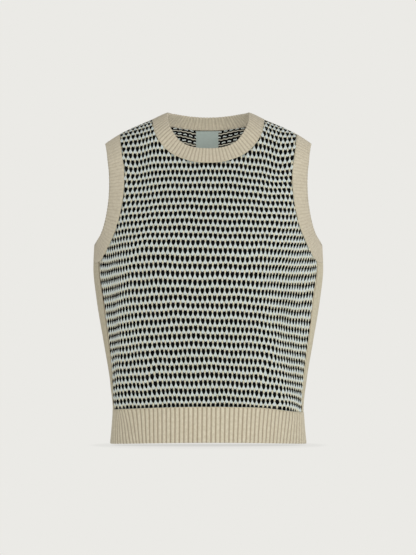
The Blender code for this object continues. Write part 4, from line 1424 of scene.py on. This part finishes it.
# --- Bands -------------------------------------------------------------------------------------
@dataclass
class RibBand:
    """A closed band of one-and-one rib.

    Its section runs down the right side, round the free edge and back up the wrong side. Each
    rib stands out as a power of the sine of its width, and the wrong side's ribs stand in the
    hollows between them.
    """

    form: VestForm
    ribs: int
    strips: int
    points_a_rib: int = 8
    crest: float = 0.75 * MM
    groove: float = -0.85 * MM
    inner_crest: float = -3.0 * MM
    inner_groove: float = -1.9 * MM
    power: float = 0.6
    edge: float = 1.3 * MM
    edge_cells: int = 6
    inset: float = 0.1 * MM
    knit_row: float = 3.6 * MM
    loose: float = 0.09        # how unevenly the ribs stand out, and the most of it
    loosest: float = 0.2
    samples: int = 900         # along each half of an opening
    crossing: float = 0.05     # a step of the fall that only the way over a ridge makes

    def section(self, pairs: np.ndarray, seed: int) -> Cloth:
        """The band along evenly spaced pairs of seam and edge places.

        Args:
            pairs: one row of four numbers a column of points.
            seed: what the ribs' unevenness is drawn from.

        Returns:
            A closed ring of cloth.
        """
        apart = self.form.points(pairs[:, :2]) - self.form.points(pairs[:, 2:])
        wide = np.linalg.norm(apart, axis=1)
        start, stop = self.inset / wide, 1 - self.edge / wide
        chance = np.random.default_rng(seed)
        loose = 1 + chance.normal(0, self.loose, self.ribs).clip(-self.loosest, self.loosest)
        angle = math.pi * np.arange(len(pairs)) / self.points_a_rib
        rib, hollow = np.abs(np.sin(angle)) ** self.power, np.abs(np.cos(angle)) ** self.power
        out = self.groove + (self.crest - self.groove) * np.repeat(loose, self.points_a_rib) * rib
        back = self.inner_groove + (self.inner_crest - self.inner_groove) * hollow
        middle, half = (out + back) / 2, (out - back) / 2
        parts, heights = [], []
        down = np.linspace(0, 1, self.strips + 1)
        for t in down:
            parts.append(start + (stop - start) * t)
            heights.append(out)
        for angle in np.linspace(0, math.pi, self.edge_cells + 1)[1:-1]:
            parts.append(stop + self.edge / wide * math.sin(angle))
            heights.append(middle + half * math.cos(angle))
        for t in down[::-2]:
            parts.append(start + (stop - start) * t)
            heights.append(back)
        part, height = np.array(parts), np.array(heights)
        places = pairs[None, :, :2] * (1 - part[..., None]) + pairs[None, :, 2:] * part[..., None]
        points = self.form.lifted(places, height)
        faces, corner = quads(*part.shape, wrap_rows=True, wrap_columns=True)
        way = (part * wide).mean(axis=1) / self.knit_row
        row = np.where(corner[..., 0] == len(way), -1.0, way[corner[..., 0] % len(way)])
        knit = np.stack([corner[..., 1] / self.points_a_rib, row], axis=-1)
        return Cloth(points.reshape(-1, 3), faces, knit).turned_out()

    def ring(self, ahead: np.ndarray, behind: np.ndarray, side: Side) -> np.ndarray:
        """Evenly spaced pairs of seam and edge places round an opening."""
        pairs = round_opening(ahead, behind, self.samples)
        pairs[:, [0, 2]] *= side.value
        return self.evened(pairs)

    def evened(self, pairs: np.ndarray) -> np.ndarray:
        """Pairs at equal ways round the middle of a closed band."""
        middle = (self.form.points(pairs[:, :2]) + self.form.points(pairs[:, 2:])) / 2
        way = lengths(middle)
        count = self.ribs * self.points_a_rib
        at = np.arange(count) / count * way[-1]
        spots = np.interp(at, way, np.arange(len(pairs)))
        low = np.minimum(spots.astype(int), len(pairs) - 2)
        share = (spots - low)[:, None]
        # turns that cross from one half to the other may differ by whole turns
        step = pairs[low + 1] - pairs[low]
        step[:, [0, 2]] = (step[:, [0, 2]] + math.pi) % (2 * math.pi) - math.pi
        ridge = np.abs(pairs[low + 1, 1] - pairs[low, 1]) > self.crossing
        return np.where(ridge[:, None], pairs[low], pairs[low] + step * share)


@dataclass
class Bands:
    """The neckband, the two armbands and the hem band."""

    form: VestForm
    seams: VestSeams
    neck_ribs: int = 91
    arm_ribs: int = 92
    hem_ribs: int = 110
    hem_samples: int = 2400
    # the turn of a hem rib's head, and how far round its foot lies from it, in degrees
    hem_lean: tuple = (
        (-180, 0.0), (-120, -2.0), (-92, 0.0), (-75, 6.0), (-60, 8.0), (-48, 4.4), (-34, 1.6),
        (-15, 0.3), (10, -0.6), (34, -2.4), (50, -4.6), (62, -6.5), (75, -5.0), (92, 0.0),
        (130, 2.0), (180, 0.0),
    )

    def build(self) -> list[bpy.types.Object]:
        """Every band, each standing for its CAD nodes."""
        seams = self.seams
        neck = RibBand(self.form, self.neck_ribs, 14, crest=0.6 * MM, groove=-0.55 * MM)
        pairs = neck.ring(seams.neck_ahead, seams.neck_behind, Side.RIGHT)
        made = [self.dress(neck.section(pairs, seed=3), "neckband_rib", NECK_KNIT,
                           ("neckband",))]
        arm = RibBand(self.form, self.arm_ribs, 12, crest=0.45 * MM, groove=-0.4 * MM)
        for side in Side:
            pairs = arm.ring(seams.arm_ahead, seams.arm_behind, side)
            name = f"armband_{side.name.lower()}"
            made.append(self.dress(arm.section(pairs, seed=5 + side.value), f"{name}_rib",
                                   ARM_KNIT, (name,)))
        hem = RibBand(self.form, self.hem_ribs, 22, crest=0.9 * MM, groove=-1.0 * MM,
                      edge=1.5 * MM)
        turn = np.linspace(-math.pi, math.pi, self.hem_samples)
        lean = np.radians(through(*np.array(self.hem_lean).T, np.degrees(turn)))
        pairs = np.hstack([
            self.form.level_place(turn + part * lean, seams.hem_height(line, turn + part * lean))
            for line, part in ((seams.hem_seam, 0.0), (seams.hem_edge, 1.0))])
        made.append(self.dress(hem.section(hem.evened(pairs), seed=9), "hem_rib", HEM_KNIT,
                               ("hem_front", "hem_back")))
        return made

    def dress(self, cloth: Cloth, name: str, finish: Finish, nodes: tuple[str, ...]) -> bpy.types.Object:
        """One band in its finish, as a sheet of cloth that stands for CAD nodes."""
        made = cloth.piece(name, finish)
        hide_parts(*nodes)
        return made


# --- Seam yarns --------------------------------------------------------------------------------
@dataclass
class SeamYarns:
    """The linked seams: a chain of yarn laid along each join."""

    form: VestForm
    seams: VestSeams
    panels: tuple[PatternPanel, PatternPanel]
    radius: float = 0.85 * MM
    lift: float = -0.25 * MM
    arm_radius: float = 0.9 * MM
    arm_lift: float = -0.62 * MM
    fine_radius: float = 0.6 * MM
    fine_lift: float = -0.35 * MM
    step: float = 1.3 * MM
    chain: float = 3.9 * MM    # length of a link
    swell: float = 0.14        # how far its thickness swings over a link, as a share
    end: float = 0.5           # how thick an open end is, as a share
    sides: int = 6
    samples: int = 500         # along each half of an opening
    hem_samples: int = 1000

    def chain_of(self, places: np.ndarray, closed: bool, radius: float, lift: float) -> Cloth:
        """A tube along a line of places, which swells once to each link of its chain."""
        points = self.form.points(places)
        way = lengths(points)
        count = max(4, round(way[-1] / self.step))
        at = np.linspace(0, way[-1], count + 1)[: count + (not closed)]
        spots = np.interp(at, way, np.arange(len(places)))
        low = np.minimum(spots.astype(int), len(places) - 2)
        gap = places[low + 1] - places[low]
        gap[:, 0] = (gap[:, 0] + math.pi) % (2 * math.pi) - math.pi
        line = places[low] + gap * (spots - low)[:, None]
        centre, normal = self.form.lifted(line, lift), self.form.outward(line)
        if closed:
            tangent = np.roll(centre, -1, axis=0) - np.roll(centre, 1, axis=0)
        else:
            tangent = np.gradient(centre, axis=0)
        tangent /= np.linalg.norm(tangent, axis=1, keepdims=True)
        beside = np.cross(tangent, normal)
        angle = np.arange(self.sides) / self.sides * 2 * math.pi
        thick = radius * (1 + self.swell * np.cos(2 * math.pi * at / self.chain))
        if not closed:
            thick[[0, -1]] *= self.end
        ring = (normal[:, None] * np.cos(angle)[None, :, None]
                + beside[:, None] * np.sin(angle)[None, :, None])
        points = centre[:, None] + thick[:, None, None] * ring
        faces, _ = quads(len(centre), self.sides, closed, True)
        last = len(centre) * self.sides - 1
        caps = () if closed else (
            tuple(range(self.sides)), tuple(last - k for k in range(self.sides)))
        return Cloth(points.reshape(-1, 3), faces, caps=caps).turned_out()

    def build(self) -> bpy.types.Object:
        """Every seam in one piece."""
        seams, parts = self.seams, []
        # the point that both halves of an opening share is taken once
        neck, arm = (
            np.delete(round_opening(ahead, behind, self.samples), self.samples, axis=0)[:, :2]
            for ahead, behind in ((seams.neck_ahead, seams.neck_behind),
                                  (seams.arm_ahead, seams.arm_behind)))
        parts.append(self.chain_of(neck, True, self.radius, self.lift))
        for side in Side:
            line = arm * [side.value, 1]
            parts.append(self.chain_of(line, True, self.arm_radius, self.arm_lift))
        turn = np.linspace(-math.pi, math.pi, self.hem_samples)
        hem = self.form.level_place(turn, seams.hem_height(seams.hem_seam, turn))
        parts.append(self.chain_of(hem, True, self.radius, self.lift))
        for panel in self.panels:
            grid = panel.places(0.0)
            up, strap = panel.rows[0] + 1, panel.strap_cells
            lines = [grid[:up, -1], grid[:up, 0]]
            if not panel.back:
                lines += [grid[-1, -strap - 1 :], grid[-1, : strap + 1]]
            for line in lines:
                parts.append(self.chain_of(line, False, self.fine_radius, self.fine_lift))
        return joined(parts).piece("seam_yarns", SEAM_YARN)


# --- Label -------------------------------------------------------------------------------------
@dataclass
class WovenLabel:
    """The bare woven label inside the back, with its turned edges."""

    form: VestForm
    width: float = 36 * MM
    length: float = 35.2 * MM
    centre_x: float = -1.8 * MM
    top: float = -28.4 * MM
    face: float = -3.75 * MM
    back: float = -2.85 * MM
    cells: int = 36
    # where its turned ends lie as a share of its length, and how much thicker they are
    ends: tuple = ((0.04, 0.25 * MM), (0.96, 0.2 * MM))
    end_width: float = 0.05
    wave: float = 0.25 * MM    # of the tape: its height, its turn across, and where that starts
    wave_turn: float = 2.2 * math.pi
    wave_start: float = 0.4

    def build(self) -> bpy.types.Object:
        """The label as a sleeve of two skins, a little thicker along its turned ends."""
        n = self.cells
        x = self.centre_x + np.linspace(-0.5, 0.5, n + 1) * self.width
        z = self.top - np.linspace(0, 1, n + 1) * self.length
        places = np.array([[self.form.place(a, b, True) for a in x] for b in z])
        across = np.linspace(0, 1, n + 1)
        down = across[:, None]
        swell = sum(more * np.exp(-((down - at) / self.end_width) ** 2) for at, more in self.ends)
        wave = self.wave * np.sin(self.wave_turn * across + self.wave_start)
        wave = wave * np.sin(math.pi * down)
        cloth, _ = sleeve(self.form.lifted(places, self.face - swell + wave),
                          self.form.lifted(places, self.back))
        made = cloth.turned_out().piece("label_tape", LABEL_TAPE, sharp=50)
        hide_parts("label")
        return made


# --- Studio ------------------------------------------------------------------------------------
@dataclass
class Studio:
    """Camera, soft lights, world and a plain pale floor."""

    backdrop: Triple = (235, 234, 230)
    sensor: float = 36.0
    distance: float = 14.0
    far: float = 100.0
    view_height: float = -0.2648
    view_x: float = -0.0005
    frame_height: float = 0.888
    glow: float = 0.48         # strength of the world's soft light, and its colour
    glow_colour: tuple = (1.0, 0.99, 0.975, 1.0)
    floor_z: float = -0.533
    floor_radius: float = 3.5
    floor_sides: int = 64
    shade: float = 0.24        # how much of its light the vest takes from the floor
    shade_reach: float = 0.6
    shade_samples: int = 16
    # it does so inside an oval: its size and how softly it ends, and how much x and y count
    oval_size: tuple = (0.17, 0.03)
    oval: tuple = (1.0, 0.55, 0.0)
    unseen: float = 0.75       # how strongly the floor lights the vest
    # name, place, size, power, and the point that the lamp faces
    lamps: tuple = (
        ("key", (2.4, -2.3, -0.5), 2.0, 28.0, (0.0, 0.0, -0.25)),
        ("front", (0.3, -3.6, -0.3), 1.6, 65.0, (0.0, 0.0, -0.25)),
        ("rear", (1.2, 2.8, 0.3), 2.4, 40.0, (0.0, 0.0, -0.25)),
        ("neck", (0.0, -0.02, -0.24), 0.1, 0.17, (0.0, 0.075, -0.03)),
    )

    def camera(self) -> None:
        """A level camera straight in front, whose lens gives 1.6 mm to a pixel at the body."""
        data = bpy.data.cameras.new("camera")
        data.sensor_width = self.sensor
        data.lens = self.sensor * self.distance / self.frame_height
        data.clip_end = self.far
        made = placed("camera", data)
        made.location = (self.view_x, -self.distance, self.view_height)
        made.rotation_euler = (math.pi / 2, 0.0, 0.0)
        bpy.context.scene.camera = made

    def lamp(self, name: str, place: Triple, size: float, power: float, aim: Triple) -> None:
        """A square soft light that faces a point of the vest."""
        data = bpy.data.lights.new(name, "AREA")
        data.size, data.energy = size, power
        made = placed(name, data)
        made.location = place
        made.visible_camera = False
        x, y, z = (to - at for to, at in zip(aim, place))
        made.rotation_euler = (math.atan2(math.hypot(x, y), -z), 0.0, math.atan2(-x, y))

    def world(self) -> None:
        """Plain backdrop for the camera, soft white light for everything else."""
        made = bpy.data.worlds.new("studio")
        made.use_nodes = True
        bpy.context.scene.world = made
        wire = Wiring(made.node_tree)
        lit = made.node_tree.nodes["Background"]
        seen = wire.add("ShaderNodeBackground")
        wire.feed(seen.inputs["Color"], linear(*self.backdrop))
        wire.feed(lit.inputs["Color"], self.glow_colour)
        wire.feed(lit.inputs["Strength"], self.glow)
        mix = wire.add("ShaderNodeMixShader")
        camera = wire.add("ShaderNodeLightPath").outputs["Is Camera Ray"]
        for socket, value in zip(mix.inputs, (camera, lit.outputs[0], seen.outputs[0])):
            wire.feed(socket, value)
        wire.feed(made.node_tree.nodes["World Output"].inputs["Surface"], mix.outputs[0])

    def floor(self) -> None:
        """A pale floor that darkens softly under the vest, where it closes off the light."""
        mesh = bpy.data.meshes.new("floor")
        sides, radius = self.floor_sides, self.floor_radius
        angle = np.arange(sides) / sides * 2 * math.pi
        rim = np.stack([radius * np.cos(angle), radius * np.sin(angle),
                        np.full(sides, self.floor_z)], axis=-1)
        mesh.from_pydata(rim.tolist(), [], [list(range(sides))])
        made = placed("floor", mesh)
        finish = bpy.data.materials.new("floor_paper")
        finish.use_nodes = True
        wire = Wiring(finish.node_tree)
        nodes = finish.node_tree.nodes
        nodes.remove(nodes["Principled BSDF"])
        shut = wire.add("ShaderNodeAmbientOcclusion", samples=self.shade_samples)
        wire.feed(shut.inputs["Distance"], self.shade_reach)
        flat = wire.add("ShaderNodeVectorMath", operation="MULTIPLY")
        wire.feed(flat.inputs[0], wire.place())
        wire.feed(flat.inputs[1], self.oval)
        away = wire.add("ShaderNodeVectorMath", operation="LENGTH")
        wire.feed(away.inputs[0], flat.outputs[0])
        beside = wire.step(away.outputs["Value"], *self.oval_size)
        light = wire.math("MAXIMUM", shut.outputs["AO"], beside)
        left = wire.math("MULTIPLY_ADD", light, self.shade, 1 - self.shade)
        camera = wire.add("ShaderNodeLightPath").outputs["Is Camera Ray"]
        strength = wire.math("MULTIPLY_ADD", camera, 1 - self.unseen, self.unseen)
        glow = wire.add("ShaderNodeEmission")
        wire.feed(glow.inputs["Color"], linear(*self.backdrop))
        wire.feed(glow.inputs["Strength"], wire.math("MULTIPLY", left, strength))
        wire.feed(nodes["Material Output"].inputs["Surface"], glow.outputs[0])
        mesh.materials.append(finish)

    def build(self) -> None:
        """The whole studio."""
        bpy.context.scene.view_settings.view_transform = "Standard"
        self.camera()
        self.world()
        self.floor()
        for lamp in self.lamps:
            self.lamp(*lamp)


# --- The whole ---------------------------------------------------------------------------------
def main() -> None:
    """Build every piece in order and report it."""
    logging.basicConfig(level=logging.INFO, format="%(name)s: %(message)s")
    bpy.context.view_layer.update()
    Studio().build()
    form = VestForm()
    seams = VestSeams(form)
    panels = (PatternPanel(form, seams, back=False), PatternPanel(form, seams, back=True))
    Bands(form, seams).build()
    for side in Side:
        SidePanel(form, seams).build(side)
    for panel in panels:
        panel.build()
    SeamYarns(form, seams, panels).build()
    WovenLabel(form).build()


if __name__ == "__main__":
    main()
